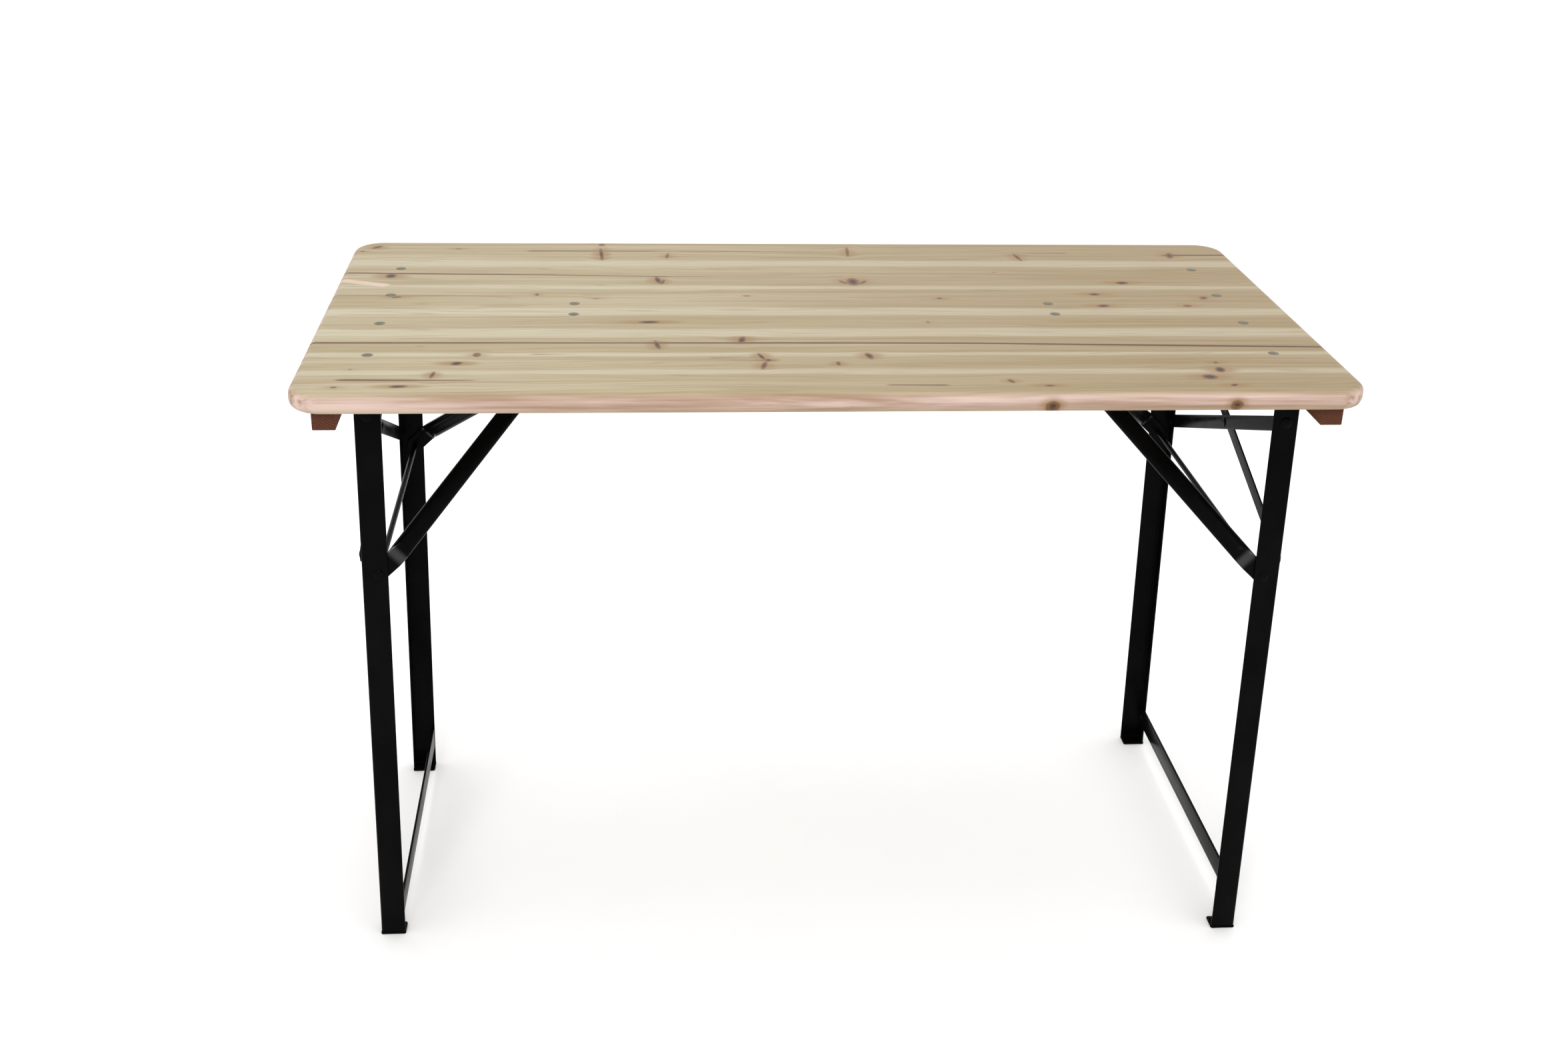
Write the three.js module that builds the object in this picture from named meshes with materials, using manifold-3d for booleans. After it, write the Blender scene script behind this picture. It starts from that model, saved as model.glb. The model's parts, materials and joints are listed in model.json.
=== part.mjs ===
// Folding picnic table: a glued fir top on two folding leg frames of black angle iron.
// Millimetres, +Z up. The origin is on the floor, under the middle of the top.
// X runs along the top, -Y is the front. The left frame (-X) is the narrow one: folded under
// the top, it lies between the legs of the wide right frame.

import * as THREE from 'three';
import { mergeVertices } from 'three/addons/utils/BufferGeometryUtils.js';
import Module from 'manifold-3d';

const wasm = await Module();
wasm.setup();

// ---------------------------------------------------------------- driving dimensions

const TOP_LENGTH = 1180;
const STAVE_WIDTHS = [68, 67, 70, 85, 98, 117, 95];  // front to back, glued edge to edge
const TABLE_HEIGHT = 760;
const TOP_THICKNESS = 24;
const TOP_CORNER_RADIUS = 38;
const TOP_EDGE_ROUND = 9;

const GAP = 0.3;            // between two pieces that touch
const HOLE_CLEARANCE = 0.3; // radial, round a shank or a pin
const CUT_PAST = 1;         // how far a cutter runs past the face that it leaves by
const DOME = { shoulderRadius: 0.7, shoulderHeight: 0.75 };  // of a head, as shares of its size

const BATTEN = { width: 25, height: 21, endInset: 25.5, sideInset: 15 };

const HINGE_INSET = 72;     // from the end of the top to the hinge line
const HINGE_DROP = 36;      // from the underside of the top to the hinge line
const SPLAY = THREE.MathUtils.degToRad(1.1);
const HALF_WIDTH = { left: 205, right: 240 };  // outer faces of the two leg frames

const LEG = { width: 30, flange: 20, wall: 2, overrun: 20 };
const FOOT = { length: 31, width: 23, thickness: 2.5, overhang: 0.5 };

const RAIL = { width: 30, thickness: 3 };
const LUG = { thickness: 3, radius: 10.5 };
const RUNNING_GAP = 0.4;    // between a lug or an eye and the leg that turns on it
const HINGE_PIN = { radius: 4, headRadius: 7, headHeight: 2.5 };

const BOLT = {
  radius: 3, headRadius: 5.5, headHeight: 2, chamfer: 0.5, nutRadius: 5.6, nutHeight: 5, tail: 2,
};
const RAIL_BOLT_Y = [-170, -56, 56, 170];
const LATCH_BOLT_Y = [-21, 21];

const BRACE = { width: 18, thickness: 2, top: 7, bottom: 176, edge: 15.5 };
const BRACE_RIVET = { radius: 3, headRadius: 6, headHeight: 1.8 };
const CROSSBAR = { width: 28, thickness: 3, drop: 655, edge: 17, inset: 0.5 };

const STRUT_DROP = 195;     // from the hinge line down the leg to the strut's axle
const STRUT_AXLE = { radius: 3.5, offset: 4, headRadius: 6.5, headHeight: 2.5 };
const STRUT_EYE = { radius: 10.5, thickness: 4, length: 26, lap: 12, bend: 4 };
const ARM = {
  halfThickness: 7, halfHeight: 11, wall: 1.5, flareLength: 18, solidNeck: 10, overrun: 20,
  squareness: 0.75,         // 1 is an ellipse, and less is squarer
};
const NOSE = { thickness: 8, height: 22, tipRadius: 7, apexBack: 41, back: 22, straight: 30 };
const LATCH_BAR = { radius: 4, halfLength: 36 };

const LATCH_REACH = 215;    // from the hinge line inwards to the latch bar
const LATCH_DROP = 23;      // from the underside of the top to the latch bar
const LATCH_BOLT_REACH = 225;
const BRACKET = {
  front: 12, back: 27, halfWidth: 31.5, wall: 2.5, depth: 31, chamfer: 8, toe: 12, heel: 5,
};
const SLOT = { clearance: 0.5, points: 9, turnBetween: 0.03 };
const LATCH_SPRING = {      // reaches are from the latch bar inwards, rises from it upwards
  from: 5, to: 14, thickness: 1, start: -10, bend: 1.5, lip: 11, lipRise: 2.4, tail: 17.5,
  tailRise: 7.4,
};

// How far each frame turns inwards to lie under the top, and the strut's slope when it has.
const FOLD = { left: THREE.MathUtils.degToRad(91.1), right: THREE.MathUtils.degToRad(90.1) };
const FOLDED_STRUT_SLOPE = { left: 0, right: THREE.MathUtils.degToRad(-2) };

// ---------------------------------------------------------------- sizes that follow

const TOP_WIDTH = STAVE_WIDTHS.reduce((sum, width) => sum + width, 0);
const UNDERSIDE = TABLE_HEIGHT - TOP_THICKNESS;
const HINGE_X = TOP_LENGTH / 2 - HINGE_INSET;
const HINGE_Z = UNDERSIDE - HINGE_DROP;
const LEG_LENGTH =
  (HINGE_Z - FOOT.thickness - GAP - LEG.width / 2 * Math.sin(SPLAY)) / Math.cos(SPLAY);

// ---------------------------------------------------------------- materials

function surface(color, roughness, metalness) {
  return new THREE.MeshStandardMaterial({ color, roughness, metalness });
}

const fir = surface(0xd9b27c, 0.45, 0);
const battenWood = surface(0xa9744c, 0.7, 0);
const blackPaint = surface(0x111214, 0.3, 0.2);
const zinc = surface(0x8d9189, 0.4, 0.9);
const springSteel = surface(0x55585c, 0.35, 1);

// ---------------------------------------------------------------- solids

// A closed geometry as a manifold solid, its seams merged.
function solid(geometry) {
  const bare = geometry.clone();
  bare.deleteAttribute('normal');
  bare.deleteAttribute('uv');
  const merged = mergeVertices(bare, 1e-4);
  const corners = [];
  const index = merged.index.array;
  for (let i = 0; i < index.length; i += 3) {
    const [a, b, c] = [index[i], index[i + 1], index[i + 2]];
    if (a !== b && b !== c && c !== a) corners.push(a, b, c);
  }
  const vertProperties = new Float32Array(merged.attributes.position.array);
  const triVerts = new Uint32Array(corners);
  return new wasm.Manifold(new wasm.Mesh({ numProp: 3, vertProperties, triVerts }));
}

function geometryOf(manifold) {
  const { vertProperties, triVerts } = manifold.getMesh();
  const geometry = new THREE.BufferGeometry();
  geometry.setAttribute('position', new THREE.BufferAttribute(new Float32Array(vertProperties), 3));
  geometry.setIndex(new THREE.BufferAttribute(new Uint32Array(triVerts), 1));
  return geometry;
}

function union(solids) {
  return solids.reduce((whole, next) => whole.add(next));
}

function cut(body, tools) {
  return tools.reduce((rest, tool) => rest.subtract(tool), body);
}

function mesh(name, manifold, material) {
  const part = new THREE.Mesh(geometryOf(manifold), material);
  part.name = name;
  return part;
}

function box(x, y, z) {
  const geometry = new THREE.BoxGeometry(x[1] - x[0], y[1] - y[0], z[1] - z[0]);
  geometry.translate((x[0] + x[1]) / 2, (y[0] + y[1]) / 2, (z[0] + z[1]) / 2);
  return solid(geometry);
}

// A flat outline given a thickness. Along 'x' the outline is in (y, z), along 'y' in (x, z),
// along 'z' in (x, y).
function prism(outline, along, from, to, curveSegments = 10) {
  const depth = to - from;
  const geometry = new THREE.ExtrudeGeometry(outline, { depth, bevelEnabled: false, curveSegments });
  const X = new THREE.Vector3(1, 0, 0);
  const Y = new THREE.Vector3(0, 1, 0);
  const Z = new THREE.Vector3(0, 0, 1);
  const turn = new THREE.Matrix4();
  if (along === 'x') turn.makeBasis(Y, Z, X).setPosition(from, 0, 0);
  if (along === 'y') turn.makeBasis(X, Z, Y.negate()).setPosition(0, to, 0);
  if (along === 'z') turn.setPosition(0, 0, from);
  return solid(geometry.applyMatrix4(turn));
}

// A turned piece: profile points are (radius, distance along the axis).
function turned(profile, along, sides = 16) {
  const geometry = new THREE.LatheGeometry(profile.map(([r, a]) => new THREE.Vector2(r, a)), sides);
  if (along === 'x') geometry.rotateZ(-Math.PI / 2);
  if (along === 'z') geometry.rotateX(Math.PI / 2);
  return solid(geometry);
}

function rod(radius, along, from, to, sides = 16) {
  return turned([[0, from], [radius, from], [radius, to], [0, to]], along, sides);
}

// A low domed head, as profile points from its rim to its top. `rise` is negative for a head
// that faces back along the axis.
function dome(radius, seat, rise) {
  const shoulder = [radius * DOME.shoulderRadius, seat + rise * DOME.shoulderHeight];
  return [[radius, seat], shoulder, [0, seat + rise]];
}

// The two long sides of a band that follows a path of flat points.
function bandSides(path, halfWidth) {
  const sideways = path.map((point, i) => {
    const before = path[Math.max(i - 1, 0)];
    const after = path[Math.min(i + 1, path.length - 1)];
    const run = Math.hypot(after[0] - before[0], after[1] - before[1]);
    return [-(after[1] - before[1]) / run * halfWidth, (after[0] - before[0]) / run * halfWidth];
  });
  return {
    left: path.map(([x, y], i) => [x + sideways[i][0], y + sideways[i][1]]),
    right: path.map(([x, y], i) => [x - sideways[i][0], y - sideways[i][1]]),
  };
}

// The outline of a flat bar with two round ends, between the centres of its ends.
function barOutline(from, to, halfWidth) {
  const angle = Math.atan2(to[1] - from[1], to[0] - from[0]);
  const outline = new THREE.Shape();
  outline.absarc(from[0], from[1], halfWidth, angle + Math.PI / 2, angle + Math.PI * 1.5, false);
  outline.absarc(to[0], to[1], halfWidth, angle - Math.PI / 2, angle + Math.PI / 2, false);
  outline.closePath();
  return outline;
}

// ---------------------------------------------------------------- the top

function topPanel() {
  const x = TOP_LENGTH / 2 - TOP_EDGE_ROUND;
  const y = TOP_WIDTH / 2 - TOP_EDGE_ROUND;
  const r = TOP_CORNER_RADIUS - TOP_EDGE_ROUND;
  const outline = new THREE.Shape();
  outline.absarc(x - r, y - r, r, 0, Math.PI / 2, false);
  outline.absarc(-x + r, y - r, r, Math.PI / 2, Math.PI, false);
  outline.absarc(-x + r, -y + r, r, Math.PI, Math.PI * 1.5, false);
  outline.absarc(x - r, -y + r, r, Math.PI * 1.5, Math.PI * 2, false);
  outline.closePath();
  const geometry = new THREE.ExtrudeGeometry(outline, {
    depth: TOP_THICKNESS - 2 * TOP_EDGE_ROUND,
    bevelThickness: TOP_EDGE_ROUND,
    bevelSize: TOP_EDGE_ROUND,
    bevelSegments: 3,
    curveSegments: 6,
  });
  geometry.translate(0, 0, UNDERSIDE + TOP_EDGE_ROUND);
  return solid(geometry);
}

// Where each bolt goes down through the top: [x, y].
function boltPlaces(side) {
  const latchX = HINGE_X - LATCH_BOLT_REACH;
  return {
    rail: RAIL_BOLT_Y.map((y) => [side * HINGE_X, y]),
    latch: LATCH_BOLT_Y.map((y) => [side * latchX, y]),
  };
}

function boltHole([x, y]) {
  const shank = BOLT.radius + HOLE_CLEARANCE;
  const head = BOLT.headRadius + HOLE_CLEARANCE;
  const seat = TABLE_HEIGHT - BOLT.headHeight - GAP;
  const below = UNDERSIDE - BRACKET.depth;
  const above = TABLE_HEIGHT + CUT_PAST;
  return turned([[0, below], [shank, below], [shank, seat], [head, seat],
    [head, above], [0, above]], 'z').translate([x, y, 0]);
}

// A flush-headed bolt with its nut run up under the plate that it holds.
function bolt(name, [x, y], plateBottom) {
  const seat = TABLE_HEIGHT - BOLT.headHeight;
  const nutTop = plateBottom - GAP;
  const nutBottom = nutTop - BOLT.nutHeight;
  const end = nutBottom - BOLT.tail;
  const profile = [[0, end], [BOLT.radius, end], [BOLT.radius, nutBottom],
    [BOLT.nutRadius, nutBottom], [BOLT.nutRadius, nutTop], [BOLT.radius, nutTop],
    [BOLT.radius, seat], [BOLT.headRadius, seat], [BOLT.headRadius, TABLE_HEIGHT - BOLT.chamfer],
    [BOLT.headRadius - BOLT.chamfer, TABLE_HEIGHT], [0, TABLE_HEIGHT]];
  return mesh(name, turned(profile, 'z').translate([x, y, 0]), zinc);
}

function staves() {
  const panel = topPanel();
  const holes = [-1, 1].flatMap((side) => {
    const places = boltPlaces(side);
    return [...places.rail, ...places.latch].map(boltHole);
  });
  let front = -TOP_WIDTH / 2;
  return STAVE_WIDTHS.map((width, i) => {
    const joint = i === STAVE_WIDTHS.length - 1 ? 0 : GAP;
    const y = [front, front + width - joint];
    const slice = box([-TOP_LENGTH, TOP_LENGTH], y, [0, 2 * TABLE_HEIGHT]);
    front += width;
    return mesh(`top_stave_${i + 1}`, cut(panel.intersect(slice), holes), fir);
  });
}

function batten(name, side) {
  const outer = side * (TOP_LENGTH / 2 - BATTEN.endInset);
  const inner = outer - side * BATTEN.width;
  const halfLength = TOP_WIDTH / 2 - BATTEN.sideInset;
  const top = UNDERSIDE - GAP;
  const across = [Math.min(outer, inner), Math.max(outer, inner)];
  return mesh(name, box(across, [-halfLength, halfLength], [top - BATTEN.height, top]), battenWood);
}

// ---------------------------------------------------------------- fixed ironwork under the top

const RAIL_BOTTOM = UNDERSIDE - GAP - RAIL.thickness;

function hingeRail(name, side, halfWidth) {
  const end = halfWidth - LEG.wall - RUNNING_GAP;
  const x = [side * HINGE_X - RAIL.width / 2, side * HINGE_X + RAIL.width / 2];
  const bar = box(x, [-end, end], [RAIL_BOTTOM, RAIL_BOTTOM + RAIL.thickness]);
  return mesh(name, cut(bar, boltPlaces(side).rail.map(boltHole)), blackPaint);
}

// A lug hangs from the rail just inside each leg. `end` is -1 at the front, 1 at the back.
function hingeLug(name, side, end, halfWidth) {
  const outer = halfWidth - LEG.wall - RUNNING_GAP;
  const x = side * HINGE_X;
  const outline = new THREE.Shape();
  outline.moveTo(x + LUG.radius, RAIL_BOTTOM - GAP);
  outline.lineTo(x - LUG.radius, RAIL_BOTTOM - GAP);
  outline.absarc(x, HINGE_Z, LUG.radius, Math.PI, Math.PI * 2, false);
  outline.closePath();
  const y = [end * outer, end * (outer - LUG.thickness)].sort((a, b) => a - b);
  const hole = rod(HINGE_PIN.radius + HOLE_CLEARANCE, 'y', y[0] - CUT_PAST, y[1] + CUT_PAST);
  const plate = prism(outline, 'y', y[0], y[1]);
  return mesh(name, plate.subtract(hole.translate([x, 0, HINGE_Z])), blackPaint);
}

function hingePin(name, side, end, halfWidth) {
  const { radius, headRadius, headHeight } = HINGE_PIN;
  const innerSeat = halfWidth - LEG.wall - RUNNING_GAP - LUG.thickness - GAP;
  const outerSeat = halfWidth + GAP;
  const profile = [[0, innerSeat - headHeight], [headRadius, innerSeat - headHeight],
    [headRadius, innerSeat], [radius, innerSeat], [radius, outerSeat],
    ...dome(headRadius, outerSeat, headHeight)];
  const pin = turned(profile, 'y').rotate([end < 0 ? 180 : 0, 0, 0]);
  return mesh(name, pin.translate([side * HINGE_X, 0, HINGE_Z]), blackPaint);
}

// ---------------------------------------------------------------- how a frame and its strut move

// Everything from here to the latch is drawn for the left end, where +X is inwards. A point in
// the upright plane is [x, z]. The right end is the same, turned half round about Z.
function strutPlan(end) {
  const hinge = [-HINGE_X, HINGE_Z];
  const down = -STRUT_DROP;
  const axle = [
    hinge[0] + STRUT_AXLE.offset * Math.cos(SPLAY) + down * Math.sin(SPLAY),
    hinge[1] - STRUT_AXLE.offset * Math.sin(SPLAY) + down * Math.cos(SPLAY),
  ];
  const bar = [-HINGE_X + LATCH_REACH, UNDERSIDE - LATCH_DROP];
  const slope = Math.atan2(bar[1] - axle[1], bar[0] - axle[0]);
  const length = Math.hypot(bar[0] - axle[0], bar[1] - axle[1]);
  const fold = FOLD[end];
  const slopeRate = (slope - FOLDED_STRUT_SLOPE[end]) / fold;

  // The latch bar's place when the frame has turned inwards by an angle.
  function barAt(angle) {
    const [dx, dz] = [axle[0] - hinge[0], axle[1] - hinge[1]];
    const x = hinge[0] + dx * Math.cos(angle) - dz * Math.sin(angle);
    const z = hinge[1] + dx * Math.sin(angle) + dz * Math.cos(angle);
    const tilt = slope - slopeRate * angle;
    return [x + length * Math.cos(tilt), z + length * Math.sin(tilt)];
  }
  return { axle, bar, slope, length, barAt };
}

// ---------------------------------------------------------------- leg frame, hinge line at the origin

function leg(name, end, halfWidth) {
  const half = LEG.width / 2;
  const faceY = [end * halfWidth, end * (halfWidth - LEG.wall)].sort((a, b) => a - b);
  const flangeY = [end * halfWidth, end * (halfWidth - LEG.flange)].sort((a, b) => a - b);
  const z = [-LEG_LENGTH, LEG.overrun];
  const angleIron = box([-half, half], faceY, z).add(box([-half, -half + LEG.wall], flangeY, z));
  const through = [faceY[0] - CUT_PAST, faceY[1] + CUT_PAST];
  const pinHole = rod(HINGE_PIN.radius + HOLE_CLEARANCE, 'y', ...through);
  const axleHole = rod(STRUT_AXLE.radius + HOLE_CLEARANCE, 'y', ...through)
    .translate([STRUT_AXLE.offset, 0, -STRUT_DROP]);
  return mesh(name, cut(angleIron, [pinHole, axleHole]), blackPaint);
}

// The foot plate is level with the floor, so it turns back by the leg's splay.
function foot(name, end, halfWidth) {
  const outer = end * (halfWidth + FOOT.overhang);
  const y = [outer, outer - end * FOOT.width].sort((a, b) => a - b);
  const plate = box([-FOOT.length / 2, FOOT.length / 2], y, [0, FOOT.thickness]);
  const part = mesh(name, plate, blackPaint);
  part.rotation.y = -SPLAY;
  part.position.set(0, 0, -HINGE_Z / Math.cos(SPLAY));
  return part;
}

// Two crossed strips join the legs: one on the inner face of the side flange, one on the outer.
function braceStrip(name, halfWidth, topEnd, onInside) {
  const y = halfWidth - BRACE.edge;
  const outline = barOutline([topEnd * y, -BRACE.top], [-topEnd * y, -BRACE.bottom], BRACE.width / 2);
  const flange = -LEG.width / 2;
  const inside = flange + LEG.wall + GAP;
  const outside = flange - GAP - BRACE.thickness;
  const from = onInside ? inside : outside;
  const to = from + BRACE.thickness;
  const strip = prism(outline, 'x', from, to, 6);
  const middle = -(BRACE.top + BRACE.bottom) / 2;
  const hole = rod(BRACE_RIVET.radius + HOLE_CLEARANCE, 'x', from - CUT_PAST, to + CUT_PAST);
  return mesh(name, strip.subtract(hole.translate([0, 0, middle])), blackPaint);
}

function braceRivet(name) {
  const { radius, headRadius, headHeight } = BRACE_RIVET;
  const flange = -LEG.width / 2;
  const outer = flange - 2 * GAP - BRACE.thickness;
  const inner = flange + LEG.wall + 2 * GAP + BRACE.thickness;
  const spacer = [flange, flange + LEG.wall];
  const profile = [...dome(headRadius, outer, -headHeight).reverse(),
    [radius, outer], [radius, spacer[0]], [headRadius, spacer[0]], [headRadius, spacer[1]],
    [radius, spacer[1]], [radius, inner], ...dome(headRadius, inner, headHeight)];
  const middle = -(BRACE.top + BRACE.bottom) / 2;
  return mesh(name, turned(profile, 'x').translate([0, 0, middle]), blackPaint);
}

// The narrow frame's crossbar is welded between its legs, on the inner side, and the wide
// frame's is riveted inside its outer flanges. Folded, each is clear of the other frame.
function weldedCrossbar(name, halfWidth) {
  const end = halfWidth - LEG.wall - GAP;
  const inner = LEG.width / 2 - CROSSBAR.inset;
  const z = [-CROSSBAR.drop - CROSSBAR.width / 2, -CROSSBAR.drop + CROSSBAR.width / 2];
  return mesh(name, box([inner - CROSSBAR.thickness, inner], [-end, end], z), blackPaint);
}

function rivetedCrossbar(name, halfWidth) {
  const y = halfWidth - CROSSBAR.edge;
  const outline = barOutline([-y, -CROSSBAR.drop], [y, -CROSSBAR.drop], CROSSBAR.width / 2);
  const from = -LEG.width / 2 + LEG.wall + GAP;
  return mesh(name, prism(outline, 'x', from, from + CROSSBAR.thickness, 6), blackPaint);
}

function strutAxle(name, halfWidth) {
  const { radius, headRadius, headHeight, offset } = STRUT_AXLE;
  const seat = halfWidth + GAP;
  const profile = [...dome(headRadius, -seat, -headHeight).reverse(),
    [radius, -seat], [radius, seat], ...dome(headRadius, seat, headHeight)];
  return mesh(name, turned(profile, 'y').translate([offset, 0, -STRUT_DROP]), blackPaint);
}

// ---------------------------------------------------------------- strut, axle at the origin, nose along +X

// A tube whose oval section changes along a path. Each station is
// { x, y, halfThickness, halfHeight } in the plane of the two arms.
function ovalLoft(stations, sides = 16) {
  const vertices = [];
  stations.forEach((station, i) => {
    const before = stations[Math.max(i - 1, 0)];
    const after = stations[Math.min(i + 1, stations.length - 1)];
    const run = Math.hypot(after.x - before.x, after.y - before.y);
    const across = [-(after.y - before.y) / run, (after.x - before.x) / run];
    for (let k = 0; k < sides; k += 1) {
      const angle = (k / sides) * Math.PI * 2;
      const flat = (value) => Math.sign(value) * Math.abs(value) ** ARM.squareness;
      const offset = station.halfThickness * flat(Math.cos(angle));
      vertices.push(station.x + across[0] * offset, station.y + across[1] * offset,
        station.halfHeight * flat(Math.sin(angle)));
    }
  });
  const index = [];
  for (let i = 0; i < stations.length - 1; i += 1) {
    for (let k = 0; k < sides; k += 1) {
      const [a, b] = [i * sides + k, i * sides + ((k + 1) % sides)];
      index.push(a, b, a + sides, b, b + sides, a + sides);
    }
  }
  const last = (stations.length - 1) * sides;
  for (let k = 1; k < sides - 1; k += 1) {
    index.push(0, k + 1, k, last, last + k, last + k + 1);
  }
  const geometry = new THREE.BufferGeometry();
  geometry.setAttribute('position', new THREE.BufferAttribute(new Float32Array(vertices), 3));
  geometry.setIndex(index);
  return solid(geometry);
}

// One arm: a flattened eye against the leg, a flared neck, then an oval tube that runs to the
// nose, where it is cut off to meet the nose's side.
function strutArm(name, end, halfWidth, plan) {
  const eyeOuter = halfWidth - LEG.wall - 2 * RUNNING_GAP;
  const eyeY = eyeOuter - STRUT_EYE.thickness / 2;
  const apexX = plan.length - NOSE.apexBack;
  const startX = STRUT_EYE.length;
  const reach = Math.hypot(apexX - startX, eyeY);
  const towards = [(apexX - startX) / reach, -eyeY / reach];
  const station = (distance, halfThickness, halfHeight) => ({
    x: startX + towards[0] * distance,
    y: end * (eyeY + towards[1] * distance),
    halfThickness,
    halfHeight,
  });
  // The loft starts inside the flat eye, a little thinner, so that no two faces coincide.
  const thin = CUT_PAST / 10;
  const eyeHalf = STRUT_EYE.thickness / 2;
  const flat = [[STRUT_EYE.lap, thin], [STRUT_EYE.bend, 0]].map(([back, less]) => ({
    x: startX - back,
    y: end * eyeY,
    halfThickness: eyeHalf - less,
    halfHeight: STRUT_EYE.radius - less,
  }));
  const flare = [0.3, 0.6, 1].map((share) => station(
    share * ARM.flareLength + STRUT_EYE.bend,
    eyeHalf + (ARM.halfThickness - eyeHalf) * Math.sin(share * Math.PI / 2) ** 2,
    STRUT_EYE.radius + (ARM.halfHeight - STRUT_EYE.radius) * share,
  ));
  const outer = ovalLoft([
    ...flat, ...flare, station(reach + ARM.overrun, ARM.halfThickness, ARM.halfHeight),
  ]);
  const inside = [ARM.halfThickness - ARM.wall, ARM.halfHeight - ARM.wall];
  const hollow = ovalLoft([
    station(ARM.flareLength + ARM.solidNeck, ...inside),
    station(reach + 2 * ARM.overrun, ...inside),
  ]);
  const eyeRange = [end * eyeOuter, end * (eyeOuter - STRUT_EYE.thickness)].sort((a, b) => a - b);
  const eyeEnd = startX - STRUT_EYE.lap / 2;
  const eye = prism(barOutline([0, 0], [eyeEnd, 0], STRUT_EYE.radius), 'y', ...eyeRange);
  const through = [eyeRange[0] - CUT_PAST, eyeRange[1] + CUT_PAST];
  const hole = rod(STRUT_AXLE.radius + HOLE_CLEARANCE, 'y', ...through);
  const ownY = [end * (NOSE.thickness / 2 + GAP), end * 2 * halfWidth].sort((a, b) => a - b);
  const ownSide = box([-plan.length, 2 * plan.length], ownY, [-plan.length, plan.length]);
  const arm = cut(union([eye, outer]), [hollow, hole]);
  return mesh(name, arm.intersect(ownSide), blackPaint);
}

// The nose joins the two arms and carries the bar that the latch holds.
function strutNose(name, plan) {
  const backX = plan.length - NOSE.apexBack - NOSE.back;
  const shoulderX = backX + NOSE.straight;
  const outline = new THREE.Shape();
  outline.moveTo(backX, NOSE.height / 2);
  outline.lineTo(backX, -NOSE.height / 2);
  outline.lineTo(shoulderX, -NOSE.height / 2);
  outline.absarc(plan.length, 0, NOSE.tipRadius, -Math.PI / 2, Math.PI / 2, false);
  outline.lineTo(shoulderX, NOSE.height / 2);
  outline.closePath();
  const plate = prism(outline, 'y', -NOSE.thickness / 2, NOSE.thickness / 2);
  const bar = rod(LATCH_BAR.radius, 'y', -LATCH_BAR.halfLength, LATCH_BAR.halfLength);
  return mesh(name, plate.add(bar.translate([plan.length, 0, 0])), blackPaint);
}

// ---------------------------------------------------------------- latch, drawn for the left end

// The slot follows the latch bar's own way out as the frame starts to fold.
function slotOutline(plan) {
  const radius = LATCH_BAR.radius + SLOT.clearance;
  const path = Array.from({ length: SLOT.points }, (_, i) => plan.barAt(i * SLOT.turnBetween));
  const { left, right } = bandSides(path, radius);
  const [[startX, startZ]] = path;
  const start = Math.atan2(left[0][1] - startZ, left[0][0] - startX);
  const outline = new THREE.Shape();
  outline.absarc(startX, startZ, radius, start, start + Math.PI, false);
  [...right.slice(1), ...left.slice(1).reverse()].forEach(([x, z]) => outline.lineTo(x, z));
  outline.closePath();
  return outline;
}

function latchBracket(name, plan) {
  const [barX] = plan.bar;
  const x = [barX - BRACKET.front, barX + BRACKET.back];
  const top = UNDERSIDE - GAP;
  const { halfWidth, wall, depth } = BRACKET;
  const plate = box(x, [-halfWidth, halfWidth], [top - wall, top]);
  const cheekOutline = new THREE.Shape();
  cheekOutline.moveTo(x[0], top);
  cheekOutline.lineTo(x[0], top - depth + BRACKET.chamfer);
  cheekOutline.lineTo(x[0] + BRACKET.chamfer, top - depth);
  cheekOutline.lineTo(barX + BRACKET.toe, top - depth);
  cheekOutline.lineTo(x[1], top - wall - BRACKET.heel);
  cheekOutline.lineTo(x[1], top);
  cheekOutline.closePath();
  const cheeks = [-halfWidth, halfWidth - wall].map((y) => prism(cheekOutline, 'y', y, y + wall));
  const slot = prism(slotOutline(plan), 'y', -2 * halfWidth, 2 * halfWidth);
  const holes = boltPlaces(-1).latch.map(boltHole);
  return mesh(name, cut(union([plate, ...cheeks]), [slot, ...holes]), blackPaint);
}

// A leaf under the bracket's plate: its lip hangs just above the latch bar's way out.
function latchSpring(name, plan) {
  const [barX, barZ] = plan.bar;
  const { from, to, thickness, start, bend, lip, lipRise, tail, tailRise } = LATCH_SPRING;
  const flat = UNDERSIDE - 2 * GAP - BRACKET.wall - thickness / 2;
  const path = [[barX + start, flat], [barX + bend, flat], [barX + lip, barZ + lipRise],
    [barX + tail, barZ + tailRise]];
  const { left, right } = bandSides(path, thickness / 2);
  const outline = new THREE.Shape([...left, ...right.reverse()].map((p) => new THREE.Vector2(...p)));
  return mesh(name, prism(outline, 'y', from, to), springSteel);
}

// ---------------------------------------------------------------- assembly

const SIDES = { left: -1, right: 1 };
const ENDS = { front: -1, back: 1 };

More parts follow.
